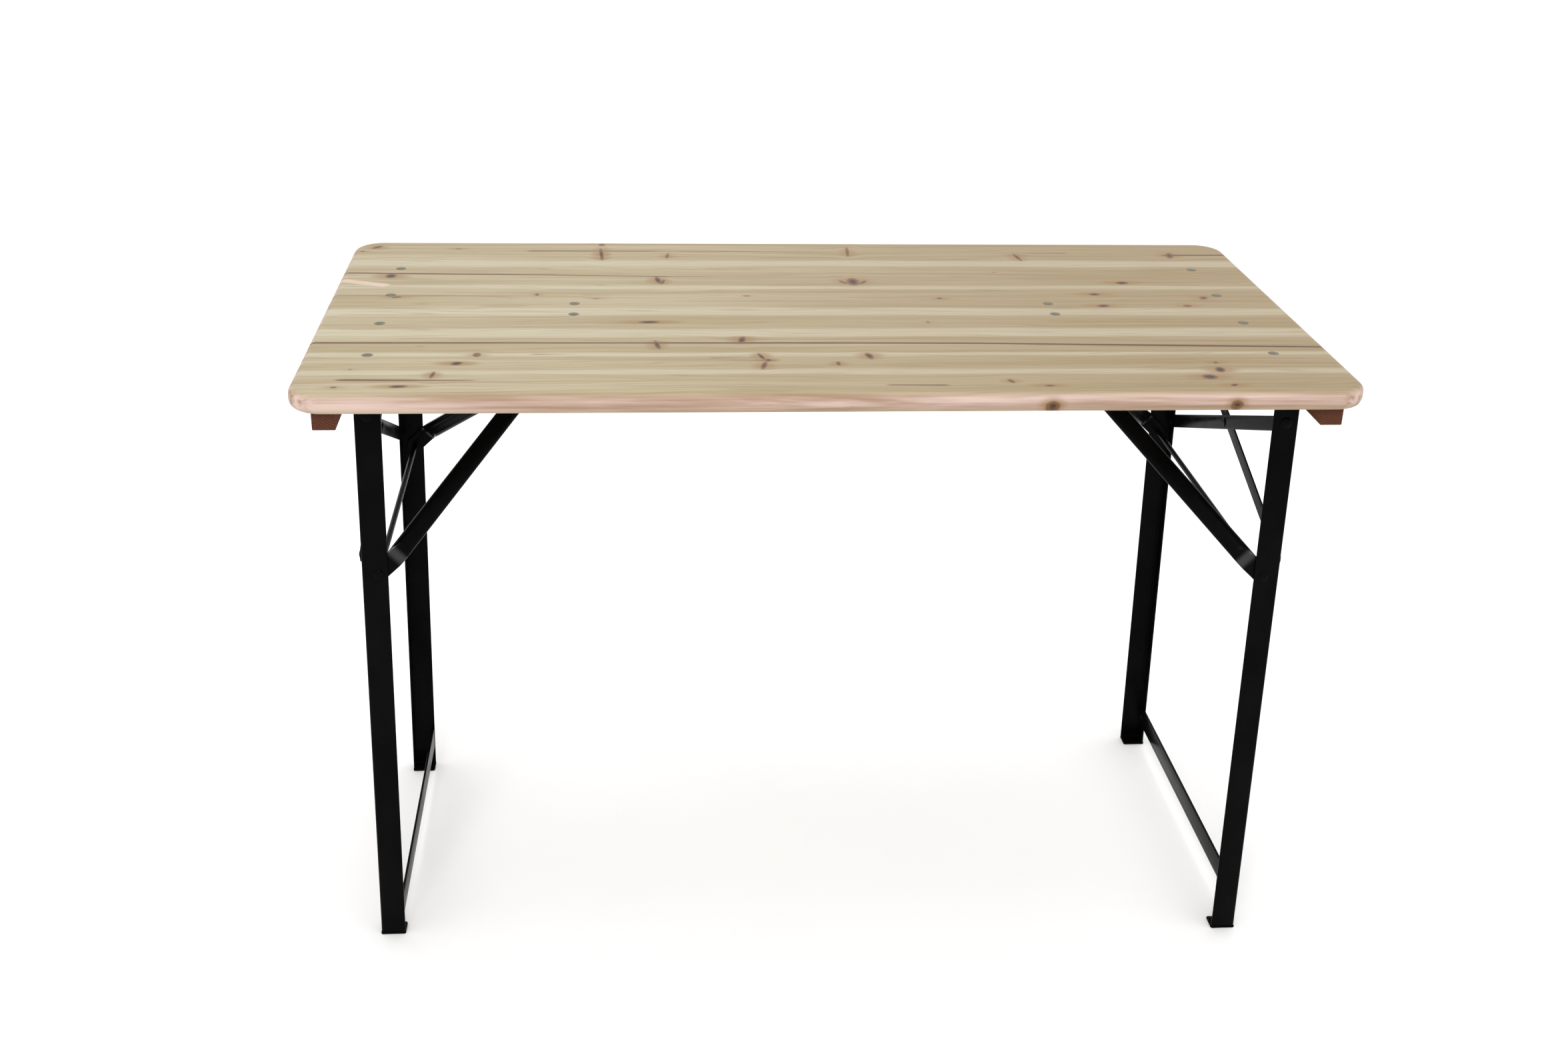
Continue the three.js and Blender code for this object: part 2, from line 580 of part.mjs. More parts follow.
function underTop(sideName) {
  const side = SIDES[sideName];
  const halfWidth = HALF_WIDTH[sideName];
  const group = new THREE.Group();
  group.add(batten(`${sideName}_batten`, side));
  group.add(hingeRail(`${sideName}_hinge_rail`, side, halfWidth));
  Object.entries(ENDS).forEach(([endName, end]) => {
    group.add(hingeLug(`${sideName}_${endName}_hinge_lug`, side, end, halfWidth));
    group.add(hingePin(`${sideName}_${endName}_hinge_pin`, side, end, halfWidth));
  });
  const places = boltPlaces(side);
  const bracketBottom = UNDERSIDE - GAP - BRACKET.wall;
  places.rail.forEach((place, i) => {
    group.add(bolt(`${sideName}_rail_bolt_${i + 1}`, place, RAIL_BOTTOM));
  });
  places.latch.forEach((place, i) => {
    group.add(bolt(`${sideName}_latch_bolt_${i + 1}`, place, bracketBottom));
  });
  return group;
}

// The latch, the leg frame and the strut of one end. In the right end's half turn, the front
// pieces are the ones drawn at the back.
function foldingEnd(sideName) {
  const halfWidth = HALF_WIDTH[sideName];
  const plan = strutPlan(sideName);
  const isRight = sideName === 'right';
  const end = new THREE.Group();
  end.rotation.z = isRight ? Math.PI : 0;
  end.add(latchBracket(`${sideName}_latch_bracket`, plan));
  end.add(latchSpring(`${sideName}_latch_spring`, plan));

  const frame = new THREE.Group();
  frame.position.set(-HINGE_X, 0, HINGE_Z);
  frame.rotation.y = SPLAY;
  const strut = new THREE.Group();
  strut.position.set(STRUT_AXLE.offset, 0, -STRUT_DROP);
  strut.rotation.y = -plan.slope - SPLAY;
  Object.entries(ENDS).forEach(([endName, sign]) => {
    const drawn = isRight ? -sign : sign;
    frame.add(leg(`${sideName}_${endName}_leg`, drawn, halfWidth));
    frame.add(foot(`${sideName}_${endName}_foot`, drawn, halfWidth));
    strut.add(strutArm(`${sideName}_${endName}_strut_arm`, drawn, halfWidth, plan));
  });
  const frontTop = isRight ? 1 : -1;
  frame.add(braceStrip(`${sideName}_inner_brace`, halfWidth, frontTop, true));
  frame.add(braceStrip(`${sideName}_outer_brace`, halfWidth, -frontTop, false));
  frame.add(braceRivet(`${sideName}_brace_rivet`));
  const crossbar = isRight ? rivetedCrossbar : weldedCrossbar;
  frame.add(crossbar(`${sideName}_lower_crossbar`, halfWidth));
  frame.add(strutAxle(`${sideName}_strut_axle`, halfWidth));
  strut.add(strutNose(`${sideName}_strut_nose`, plan));
  frame.add(strut);
  end.add(frame);
  return end;
}

const group = new THREE.Group();
group.add(...staves());
Object.keys(SIDES).forEach((sideName) => group.add(underTop(sideName), foldingEnd(sideName)));

export default group;
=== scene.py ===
# %% [markdown]
# # A folding picnic table
# The real table is a slab of fir boards glued edge to edge, on two frames of black angle iron
# that fold flat under it. This lesson dresses the plain solids of the working model: boards with
# grain, knots and a rounded edge, steel with bent corners, rivets, welds and gloss paint.
# Every length is in metres. The origin is on the floor, X runs along the top, -Y is the front.

# %% Load the working model
import json
import math

import bpy
import numpy as np
from mathutils import Matrix, Vector


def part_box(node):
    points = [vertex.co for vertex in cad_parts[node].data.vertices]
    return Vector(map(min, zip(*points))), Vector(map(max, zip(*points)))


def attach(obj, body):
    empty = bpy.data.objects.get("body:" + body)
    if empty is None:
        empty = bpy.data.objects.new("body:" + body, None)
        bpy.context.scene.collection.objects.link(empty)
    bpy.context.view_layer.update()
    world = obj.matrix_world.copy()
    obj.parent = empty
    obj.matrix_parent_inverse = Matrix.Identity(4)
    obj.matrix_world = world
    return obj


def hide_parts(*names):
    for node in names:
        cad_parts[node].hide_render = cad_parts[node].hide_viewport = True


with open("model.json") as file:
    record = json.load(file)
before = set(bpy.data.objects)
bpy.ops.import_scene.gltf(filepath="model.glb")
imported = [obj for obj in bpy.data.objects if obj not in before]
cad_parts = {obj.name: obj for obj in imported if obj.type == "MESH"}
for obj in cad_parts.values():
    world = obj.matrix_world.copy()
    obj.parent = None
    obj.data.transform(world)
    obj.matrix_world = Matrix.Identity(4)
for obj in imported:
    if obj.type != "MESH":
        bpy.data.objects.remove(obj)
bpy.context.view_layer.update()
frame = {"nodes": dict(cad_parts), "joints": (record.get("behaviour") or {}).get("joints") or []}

MM = 0.001
nodes = frame["nodes"]
joints = {joint["name"]: joint for joint in frame["joints"]}
print("nodes:", len(nodes), "joints:", sorted(joints))

# %% [markdown]
# ## Tools for making shapes
# A mesh is a list of points and a list of faces. Here the points always come from a formula over
# a grid: rings of points carried along a path. Neighbouring rings are joined by four-sided faces,
# and the two ends are closed by one flat face each. One helper turns that into an object, shades
# it smoothly except at real edges, and tells the table which moving body it belongs to.

# %% Rings to a mesh
def skin(rings):
    """Points and faces of the closed tube through `rings`, an array (ring, point round, xyz)."""
    count, around = rings.shape[:2]
    row = np.arange(count - 1)[:, None] * around
    here = np.arange(around)
    there = (here + 1) % around
    quads = np.stack([row + here, row + there, row + around + there, row + around + here], -1)
    ends = [list(range(around))[::-1], list(range((count - 1) * around, count * around))]
    return rings.reshape(-1, 3), quads.reshape(-1, 4).tolist() + ends


def joined(parts):
    """One set of points and faces from several, for a piece that is made of separate lumps."""
    points, faces, start = [], [], 0
    for part_points, part_faces in parts:
        points.append(part_points)
        faces += [[start + corner for corner in face] for face in part_faces]
        start += len(part_points)
    return np.concatenate(points), faces


def piece(name, part, body, material, sharp_degrees=38):
    """An object from points and faces, riding on a body and carrying a finish."""
    points, faces = part
    mesh = bpy.data.meshes.new(name)
    mesh.from_pydata(points, [], faces)
    mesh.polygons.foreach_set("use_smooth", np.ones(len(mesh.polygons), bool))
    mesh.set_sharp_from_angle(angle=math.radians(sharp_degrees))
    thing = bpy.data.objects.new(name, mesh)
    bpy.context.scene.collection.objects.link(thing)
    bpy.ops.object.select_all(action="DESELECT")
    bpy.context.view_layer.objects.active = thing
    thing.select_set(True)
    bpy.ops.object.mode_set(mode="EDIT")
    bpy.ops.mesh.select_all(action="SELECT")
    bpy.ops.mesh.normals_make_consistent(inside=False)
    bpy.ops.object.mode_set(mode="OBJECT")
    thing.data.materials.append(material)
    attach(thing, body)
    return thing


def unit(vectors):
    """Each vector divided by its own length."""
    return vectors / np.linalg.norm(vectors, axis=-1, keepdims=True)


def rounded(corners, radius, steps=6):
    """A closed outline (n, 2) with an arc at each corner: the arc's centre lies on the corner's
    bisector, radius / sin(half the corner's angle) away, and the arc is swept at an even rate."""
    corner = np.asarray(corners, float)
    r = np.broadcast_to(radius, len(corner))[:, None]
    back = unit(np.roll(corner, 1, 0) - corner)
    ahead = unit(np.roll(corner, -1, 0) - corner)
    half = np.arccos((back * ahead).sum(1, keepdims=True)) / 2
    centre = corner + unit(back + ahead) * r / np.sin(half)
    first = (corner + back * r / np.tan(half) - centre) / r
    last = (corner + ahead * r / np.tan(half) - centre) / r
    sweep = (math.pi - 2 * half)[:, None]
    t = np.linspace(0, 1, steps)[None, :, None]
    arc = (np.sin((1 - t) * sweep) * first[:, None] + np.sin(t * sweep) * last[:, None]) / np.sin(sweep)
    return (centre[:, None] + arc * r[:, None]).reshape(-1, 2)


def round_ended(start, end, radius, steps=12):
    """The outline of a strip with a half circle round each of its two end points."""
    heading = math.atan2(end[1] - start[1], end[0] - start[0])
    turn = np.linspace(math.pi / 2, 3 * math.pi / 2, steps) + heading
    half = np.stack([np.cos(turn), np.sin(turn)], -1) * radius
    return np.concatenate([half + start, -half + end])


def inset(outline, distance):
    """The outline moved inwards: each point goes along the mean of its two edges' normals."""
    along = unit(np.roll(outline, -1, 0) - outline)
    normal = np.stack([-along[:, 1], along[:, 0]], -1)
    mean = unit(normal + np.roll(normal, 1, 0))
    stretch = 1 / np.maximum((mean * normal).sum(1, keepdims=True), 0.5)
    following = np.roll(outline, -1, 0)
    area = (outline[:, 0] * following[:, 1] - following[:, 0] * outline[:, 1]).sum()
    return outline + mean * stretch * distance * np.sign(area)


def plate(outline, low, high, edge, steps=3):
    """A flat outline given a thickness, its rims rounded by quarter circles of radius `edge`:
    going up the rim by edge (1 - cos a), the outline is drawn in by edge (1 - sin a)."""
    angle = np.linspace(0, math.pi / 2, steps + 1)
    drawn_in = edge * (1 - np.sin(angle))
    height = edge * (1 - np.cos(angle))
    insets = np.concatenate([drawn_in, drawn_in[::-1]])
    heights = np.concatenate([low + height, high - height[::-1]])
    rings = [np.column_stack([inset(outline, d) if d > 0 else outline, np.full(len(outline), h)])
             for d, h in zip(insets, heights)]
    return skin(np.stack(rings))


def revolved(profile, sides=32):
    """A turned piece about +Z: each profile point (radius, height) becomes a circle."""
    profile = np.asarray(profile, float)
    turn = np.arange(sides) / sides * 2 * math.pi
    radius, height = profile[:, :1], profile[:, 1:]
    rings = [radius * np.cos(turn), radius * np.sin(turn), height + 0 * turn]
    return skin(np.stack(rings, -1))


def dome(radius, height, base=0.0, steps=7):
    """Profile of a low domed head: (radius cos a, base + height sin a), a from 0 to nearly 90."""
    angle = np.linspace(0, math.radians(88), steps)
    return np.stack([radius * np.cos(angle), base + height * np.sin(angle)], -1)


AXES = {"x": [1, 2, 0], "y": [0, 2, 1], "z": [0, 1, 2]}


def along(axis, part):
    """A piece drawn about Z, laid along another axis: 'x' reads its drawing as (y, z), 'y' as (x, z)."""
    points, faces = part
    return points[:, np.argsort(AXES[axis])], faces


def moved(part, offset):
    """A piece moved by an offset."""
    points, faces = part
    return points + np.asarray(offset), faces


print("an outline with four arcs has", len(rounded([(0, 0), (1, 0), (1, 1), (0, 1)], 0.1)), "points")

# %% [markdown]
# ## Tools for finishes
# A finish is a small graph of shader nodes. Patterns are read from Object coordinates, which are
# the table's own metres, or from values stored on the mesh, so they stay put when it folds.

# %% Shader helpers
def node(tree, kind, inputs=None, **settings):
    """A new shader node; an input may be a plain value or another node's socket."""
    made = tree.nodes.new(kind)
    for key, value in settings.items():
        setattr(made, key, value)
    for key, value in (inputs or {}).items():
        if isinstance(value, bpy.types.NodeSocket):
            tree.links.new(value, made.inputs[key])
        else:
            made.inputs[key].default_value = value
    return made


def finish(name, **surface):
    """A new material; returns it with its node tree and its Principled shader."""
    material = bpy.data.materials.new(name)
    material.use_nodes = True
    tree = material.node_tree
    shader = tree.nodes["Principled BSDF"]
    for key, value in surface.items():
        shader.inputs[key.replace("_", " ")].default_value = value
    return material, tree, shader


def math_node(tree, operation, *values, clamp=False):
    made = node(tree, "ShaderNodeMath", dict(enumerate(values)), operation=operation, use_clamp=clamp)
    return made.outputs[0]


def add(tree, first, second, clamp=False):
    return math_node(tree, "ADD", first, second, clamp=clamp)


def minus(tree, first, second):
    return math_node(tree, "SUBTRACT", first, second)


def times(tree, first, second):
    return math_node(tree, "MULTIPLY", first, second)


def stretched(tree, vector, stretch):
    """A place scaled by axis: a small factor along an axis draws a pattern out along it."""
    return node(tree, "ShaderNodeMapping", {"Vector": vector, "Scale": stretch}).outputs[0]


def object_coords(tree, stretch):
    """Object coordinates, stretched."""
    return stretched(tree, node(tree, "ShaderNodeTexCoord").outputs["Object"], stretch)


def noise(tree, vector, scale, detail=2.0, roughness=0.5, distortion=0.0):
    """Smooth random values from 0 to 1."""
    made = node(tree, "ShaderNodeTexNoise", {
        "Vector": vector, "Scale": scale, "Detail": detail, "Roughness": roughness,
        "Distortion": distortion})
    return made.outputs[0]


def between(tree, value, low, high, to_low=0.0, to_high=1.0):
    """value eased from low..high to to_low..to_high."""
    return node(tree, "ShaderNodeMapRange", {
        "Value": value, "From Min": low, "From Max": high, "To Min": to_low, "To Max": to_high},
        interpolation_type="SMOOTHSTEP").outputs[0]


def mix(tree, factor, first, second, blend="MIX"):
    """Two colours mixed, the second laid over the first by `factor`."""
    made = node(tree, "ShaderNodeMix", data_type="RGBA", blend_type=blend)
    for index, value in ((0, factor), (6, first), (7, second)):
        if isinstance(value, bpy.types.NodeSocket):
            tree.links.new(value, made.inputs[index])
        else:
            made.inputs[index].default_value = value
    return made.outputs[2]


def bump(tree, shader, height, distance, normal=None):
    """A relief of `distance` metres on the surface."""
    made = node(tree, "ShaderNodeBump", {"Height": height, "Distance": distance, "Strength": 1.0})
    if normal is not None:
        tree.links.new(normal, made.inputs["Normal"])
    tree.links.new(made.outputs[0], shader.inputs["Normal"])
    return made.outputs[0]


def stored(tree, name):
    """A number stored on the mesh's points."""
    return node(tree, "ShaderNodeAttribute", attribute_name=name).outputs["Fac"]


# %% [markdown]
# ## The fir boards
# Seven boards of different widths are glued edge to edge, planed, and their rim is rounded all
# round. Each board's surface is a grid: one parameter runs along the board, the other goes round
# its section. How high the surface is depends only on the distance to the rim of the whole top,
# so the rim's round edge is a quarter circle everywhere, even round the plan's corners.

# %% The shape of the top
board_boxes = [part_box(f"top_stave_{i}") for i in range(1, 8)]
TOP_LOW = np.array(board_boxes[0][0])
TOP_HIGH = np.array(board_boxes[-1][1])
HALF_LENGTH = TOP_HIGH[0]
HALF_WIDTH = TOP_HIGH[1]
UNDERSIDE, TOP_FACE = TOP_LOW[2], TOP_HIGH[2] - 0.25 * MM
PLAN_RADIUS = 38 * MM
EDGE_RADIUS = 9 * MM
GLUE_LINE = 0.05 * MM
STEP = 1.6 * MM


def rim_distance(x, y):
    """How far inside the top's outline a point is: the distance to a rectangle with round corners."""
    qx = np.abs(x) - (HALF_LENGTH - PLAN_RADIUS)
    qy = np.abs(y) - (HALF_WIDTH - PLAN_RADIUS)
    outside = np.hypot(np.maximum(qx, 0), np.maximum(qy, 0))
    return PLAN_RADIUS - outside - np.minimum(np.maximum(qx, qy), 0)


def round_off(distance):
    """How far the face drops near the rim: r - sqrt(r^2 - (r - d)^2) while d is under r."""
    gap = np.clip(EDGE_RADIUS - distance, 0, EDGE_RADIUS)
    return EDGE_RADIUS - np.sqrt(EDGE_RADIUS**2 - gap**2)


def eased_to_rim(length, rim_at_start, rim_at_end):
    """Distances from 0 to length, in even steps, but finer by a cosine over a rim's rounding."""
    fine = EDGE_RADIUS * (1 - np.cos(np.linspace(0, math.pi / 2, 9)))[:-1]
    start = EDGE_RADIUS if rim_at_start else 0
    end = EDGE_RADIUS if rim_at_end else 0
    count = round((length - start - end) / STEP) + 1
    spans = [fine if rim_at_start else [], np.linspace(start, length - end, count)]
    spans.append(length - fine[::-1] if rim_at_end else [])
    return np.concatenate(spans)


def board_grid(index):
    """Points of one board (station along x, point round the section, xyz), and its face rows."""
    low, high = (np.array(corner) for corner in board_boxes[index])
    first, last = index == 0, index == len(board_boxes) - 1
    x = eased_to_rim(2 * HALF_LENGTH, True, True)[:, None] - HALF_LENGTH
    share = eased_to_rim(high[1] - low[1], first, last)
    share = share / share[-1]
    bottom_share = share[::5] if share[::5][-1] == 1 else np.append(share[::5], 1)
    corner = np.clip(np.abs(x) - (HALF_LENGTH - PLAN_RADIUS), 0, PLAN_RADIUS)
    drawn_in = PLAN_RADIUS - np.sqrt(PLAN_RADIUS**2 - corner**2)
    front = low[1] + (drawn_in if first else GLUE_LINE / 2 + 0 * x)
    next_front = HALF_WIDTH if last else board_boxes[index + 1][0][1]
    back = next_front - (drawn_in if last else GLUE_LINE / 2 + 0 * x)
    y_top = front + (back - front) * share
    y_bottom = (front + (back - front) * bottom_share)[:, ::-1]
    z_top = TOP_FACE - round_off(rim_distance(x, y_top))
    z_bottom = UNDERSIDE + round_off(rim_distance(x, y_bottom))
    side = np.linspace(0, 1, 6)[1:-1]
    back_z = z_top[:, -1:] + (z_bottom[:, :1] - z_top[:, -1:]) * side
    front_z = z_bottom[:, -1:] + (z_top[:, :1] - z_bottom[:, -1:]) * side
    y = np.hstack([y_top, back + 0 * back_z, y_bottom, front + 0 * front_z])
    z = np.hstack([z_top, back_z, z_bottom, front_z])
    return np.stack([x + 0 * y, y, z], -1)


print("board widths:", [round(float(high[1] - low[1]), 4) for low, high in board_boxes])

# %% [markdown]
# ## How the grain runs
# Fir grain is nearly straight along the board, and bends round knots like water round stones. So
# the boards store numbers on their points, worked out as whole arrays: `grain`, a place in the
# tree that the rings are drawn from, squeezed towards each knot; `knot` and `halo`, how deep a
# point is in a knot and in the stained wood round it; `pith`, how near it is to a dark pith line;
# and `pale`, how much sapwood it has. The shader then only adds what is finer than the grid.

# %% Knots, pith lines and sapwood
# Each knot: x, y, half-width along the board, half-width across it, lean in degrees, darkness.
# Most are branches cut along their length, so they are spikes that lie across the board.
KNOTS = [
    (-560, 270, 4, 9, -40, 0.8), (-577, 250, 3, 3, 0, 0.7), (-453, 263, 5, 2, 8, 0.7),
    (-263, 238, 2.6, 26, 3, 0.9), (-263, 285, 5, 7, 0, 0.7), (-176, 231, 3, 15, -6, 0.6),
    (67, 253, 2.6, 26, -4, 0.7), (295, 228, 3, 17, 8, 0.8), (507, 238, 5, 14, -12, 0.8),
    (-527, 137, 6, 8, 0, 1.0), (-190, 120, 3.4, 14, 8, 0.9), (-184, 112, 2.2, 10, -12, 0.8),
    (-510, 47, 7, 4, 20, 0.7), (-340, 58, 3.4, 6, 0, 0.6), (-81, 53, 6, 3.4, 0, 0.6),
    (59, 114, 7, 15, 0, 0.9), (46, 112, 3, 10, 30, 0.7), (72, 112, 3, 10, -30, 0.7),
    (409, 110, 8, 6, 10, 0.9), (361, 60, 7, 4.6, 0, 0.9), (361, 12, 8, 5, 12, 0.9),
    (498, 45, 5, 7, -30, 0.8), (468, 12, 6, 4.4, 0, 0.8), (160, 43, 3.4, 4, 0, 0.7),
    (131, -53, 3, 4, 0, 0.6), (-97, -7, 8, 3.4, 0, 0.3), (-203, -52, 11, 4, 2, 1.0),
    (-195, -136, 3, 14, 9, 0.9), (-97, -120, 4, 12, -10, 0.9), (-397, -170, 5, 8, 0, 0.7),
    (-417, -199, 6, 5, 25, 1.0), (-463, -139, 10, 3, 0, 0.4), (-78, -178, 2.4, 11, 16, 0.9),
    (-71, -190, 3, 4, 0, 1.0), (-77, -208, 3, 13, -12, 0.8), (7, -202, 2.6, 7, 0, 0.8),
    (45, -177, 4, 10, 10, 0.9), (-440, -237, 2.4, 11, -6, 0.8), (-473, -273, 9, 3.6, 4, 1.0),
    (-540, -275, 4, 3, 0, 0.7), (440, -202, 3, 3, 0, 0.8), (438, -226, 5, 8, -10, 1.0),
    (419, -250, 8, 7, 0, 1.0), (192, -262, 3, 7, 20, 0.8), (232, -277, 6, 2.6, 0, 0.8),
    (439, -277, 5, 3, 30, 0.9),
    (-530, -218, 3, 3, 0, 0.5), (250, 157, 3, 2.4, 0, 0.6), (-267, 41, 5, 1.6, 0, 0.7),
]
# Each knot in the front edge: x, depth under the top face, radius, darkness.
EDGE_KNOTS = [(232, 19, 8, 1.0), (437, 17, 7, 0.9), (-330, 21, 4, 0.5)]
# Each pith line: its path's (x, y) points, half-width, strength at its start and at its end.
PITH_LINES = [
    ([(-353, 254), (40, 253)], 0.9, 0.7, 0.3), ([(227, 249), (360, 249)], 0.9, 0.3, 0.6),
    ([(507, 240), (586, 241)], 1.2, 0.8, 0.9),
    ([(-588, 150), (-400, 145), (-187, 137), (120, 137)], 1.2, 1.0, 0.25),
    ([(-587, 54), (-230, 53)], 0.8, 0.5, 0.2),
    ([(-590, -127), (0, -130), (180, -132), (590, -148)], 1.2, 0.8, 1.0),
    ([(-200, -189), (-70, -190)], 0.7, 0.3, 0.8), ([(-530, -252), (-400, -254)], 1.0, 1.0, 0.5),
    ([(60, -273), (113, -274)], 1.0, 0.7, 0.7), ([(-130, -182), (-40, -180)], 0.8, 0.5, 0.1),
    ([(-330, -168), (-250, -172)], 0.9, 0.6, 0.1), ([(-280, 56), (-210, 54)], 1.3, 0.4, 0.2),
]
# A torn patch near one end: the (x, y) ends of its middle line, and its half-width.
TORN_FROM, TORN_TO, TORN_WIDTH = (-582, 116), (-532, 98), 10
PALE_AT_FRONT = [0, 10, 0, 18, 13, 9, 5]  # mm of sapwood at each board's front edge
PALE_AT_BACK = [5, 10, 12, 15, 6, 22, 0]  # and at its back edge


def knot_fields(x, y, z):
    """The depth in knots, in their halos, and the grain's sideways squeeze, at points in mm.
    A knot is exp(-ln2 d^2), where d is the distance in its own ellipse: a half at its rim."""
    knot, halo, squeeze = (np.zeros_like(x) for _ in range(3))
    for cx, cy, wide, deep, lean, dark in KNOTS:
        c, s = math.cos(math.radians(lean)), math.sin(math.radians(lean))
        u, v = (x - cx) * c + (y - cy) * s, (y - cy) * c - (x - cx) * s
        knot = np.maximum(knot, dark * np.exp(-0.69 * ((u / wide) ** 2 + (v / deep) ** 2)))
        far = ((x - cx) / (3.2 * wide + 6)) ** 2 + ((y - cy) / (1.15 * deep + 3)) ** 2
        halo = np.maximum(halo, dark * np.exp(-0.69 * far))
        around = np.exp(-(((x - cx) / (2.2 * wide + 10)) ** 2 + ((y - cy) / (1.4 * deep + 5)) ** 2))
        squeeze += 0.55 * (y - cy) * around
    in_edge = np.exp(-((np.maximum(y + HALF_WIDTH / MM, 0) / 7) ** 2))
    for cx, depth, radius, dark in EDGE_KNOTS:
        away = (x - cx) ** 2 + (z + depth - TOP_FACE / MM) ** 2
        knot = np.maximum(knot, dark * in_edge * np.exp(-0.69 * away / radius**2))
        halo = np.maximum(halo, dark * in_edge * np.exp(-0.69 * away / (2 * radius) ** 2))
    return knot, halo, squeeze


def pith_field(x, y):
    """How dark a pith line makes a point, and the soft stain beside it: a bell across the line."""
    line, stain = np.zeros_like(x), np.zeros_like(x)
    for path, half_width, start, end in PITH_LINES:
        px, py = np.array(path, float).T
        t = np.clip((x - px[0]) / (px[-1] - px[0]), 0, 1)
        off = y - np.interp(x, px, py)
        beyond = np.maximum(np.maximum(px[0] - x, x - px[-1]), 0)
        strength = (start + (end - start) * t) * np.exp(-((beyond / 12) ** 2))
        line = np.maximum(line, strength * np.exp(-((off / (half_width * 1.9)) ** 2)))
        stain = np.maximum(stain, strength * np.exp(-((off / 6.5) ** 2)))
    return line, stain


def torn_field(x, y):
    """How torn the surface is: a bell across the patch's middle line, and round its ends."""
    start, run = np.array(TORN_FROM, float), np.subtract(TORN_TO, TORN_FROM)
    t = np.clip(((x - start[0]) * run[0] + (y - start[1]) * run[1]) / (run @ run), 0, 1)
    away = (x - start[0] - t * run[0]) ** 2 + (y - start[1] - t * run[1]) ** 2
    return np.exp(-away / TORN_WIDTH**2)


def store(mesh, name, values):
    """Puts one number, or one vector, on each point of a mesh."""
    vector = values.ndim == 2
    layer = mesh.attributes.new(name, "FLOAT_VECTOR" if vector else "FLOAT", "POINT")
    layer.data.foreach_set("vector" if vector else "value", values.astype(np.float32).ravel())


def store_wood(board, index):
    """All of a board's stored values, from its points."""
    low, high = board_boxes[index]
    points = np.empty(len(board.data.vertices) * 3, np.float32)
    board.data.vertices.foreach_get("co", points)
    x, y, z = points.reshape(-1, 3).T.astype(float) / MM
    knot, halo, squeeze = knot_fields(x, y, z)
    line, stain = pith_field(x, y)
    wander = 3.0 * np.sin(x / 190 + 2.1 * index) + 1.3 * np.sin(x / 71 + 4.3 * index)
    bright = wander * 0.7 + 2.0 * np.sin(x / 43 + index)
    from_front, from_back = y - low[1] / MM, high[1] / MM - y
    pale_front = (PALE_AT_FRONT[index] + 0.5 * bright - from_front) / 8
    pale_back = (PALE_AT_BACK[index] + 0.5 * bright - from_back) / 8
    pale = np.clip(np.maximum(pale_front, pale_back) + 0.5, 0, 1)
    edge = np.clip(round_off(rim_distance(x * MM, y * MM)) / EDGE_RADIUS * 1.6, 0, 1)
    store(board.data, "grain", np.stack([x, y - squeeze + wander, z + 60 * index], -1) * MM)
    around_bolt = np.full_like(x, 99.0)
    for bolt_x, bolt_y in BOLT_PLACES:
        around_bolt = np.minimum(around_bolt, np.hypot(x - bolt_x, y - bolt_y))
    for name, values in (("knot", knot), ("halo", halo), ("pith", line), ("stain", stain),
                         ("pale", pale), ("edge", edge), ("torn", torn_field(x, y)),
                         ("around_bolt", around_bolt)):
        store(board.data, name, values)


bolt_nodes = sorted(name for name in nodes if "bolt" in name)
BOLT_PLACES = [np.mean(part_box(name), axis=0)[:2] / MM for name in bolt_nodes]
print("knots:", len(KNOTS), "pith lines:", len(PITH_LINES), "bolts:", len(BOLT_PLACES))

# %% [markdown]
# ## The look of lacquered fir
# Growth rings are drawn as a saw wave over the distance from the tree's heart, so the flat face
# shows long streaks and the ends show arcs, from one formula. Over them lie fibres, pale sapwood,
# brown pith lines, knots with a dark core, and a clear lacquer with a soft shine. The rim is cut
# through the rings, and looks pinker than the face.

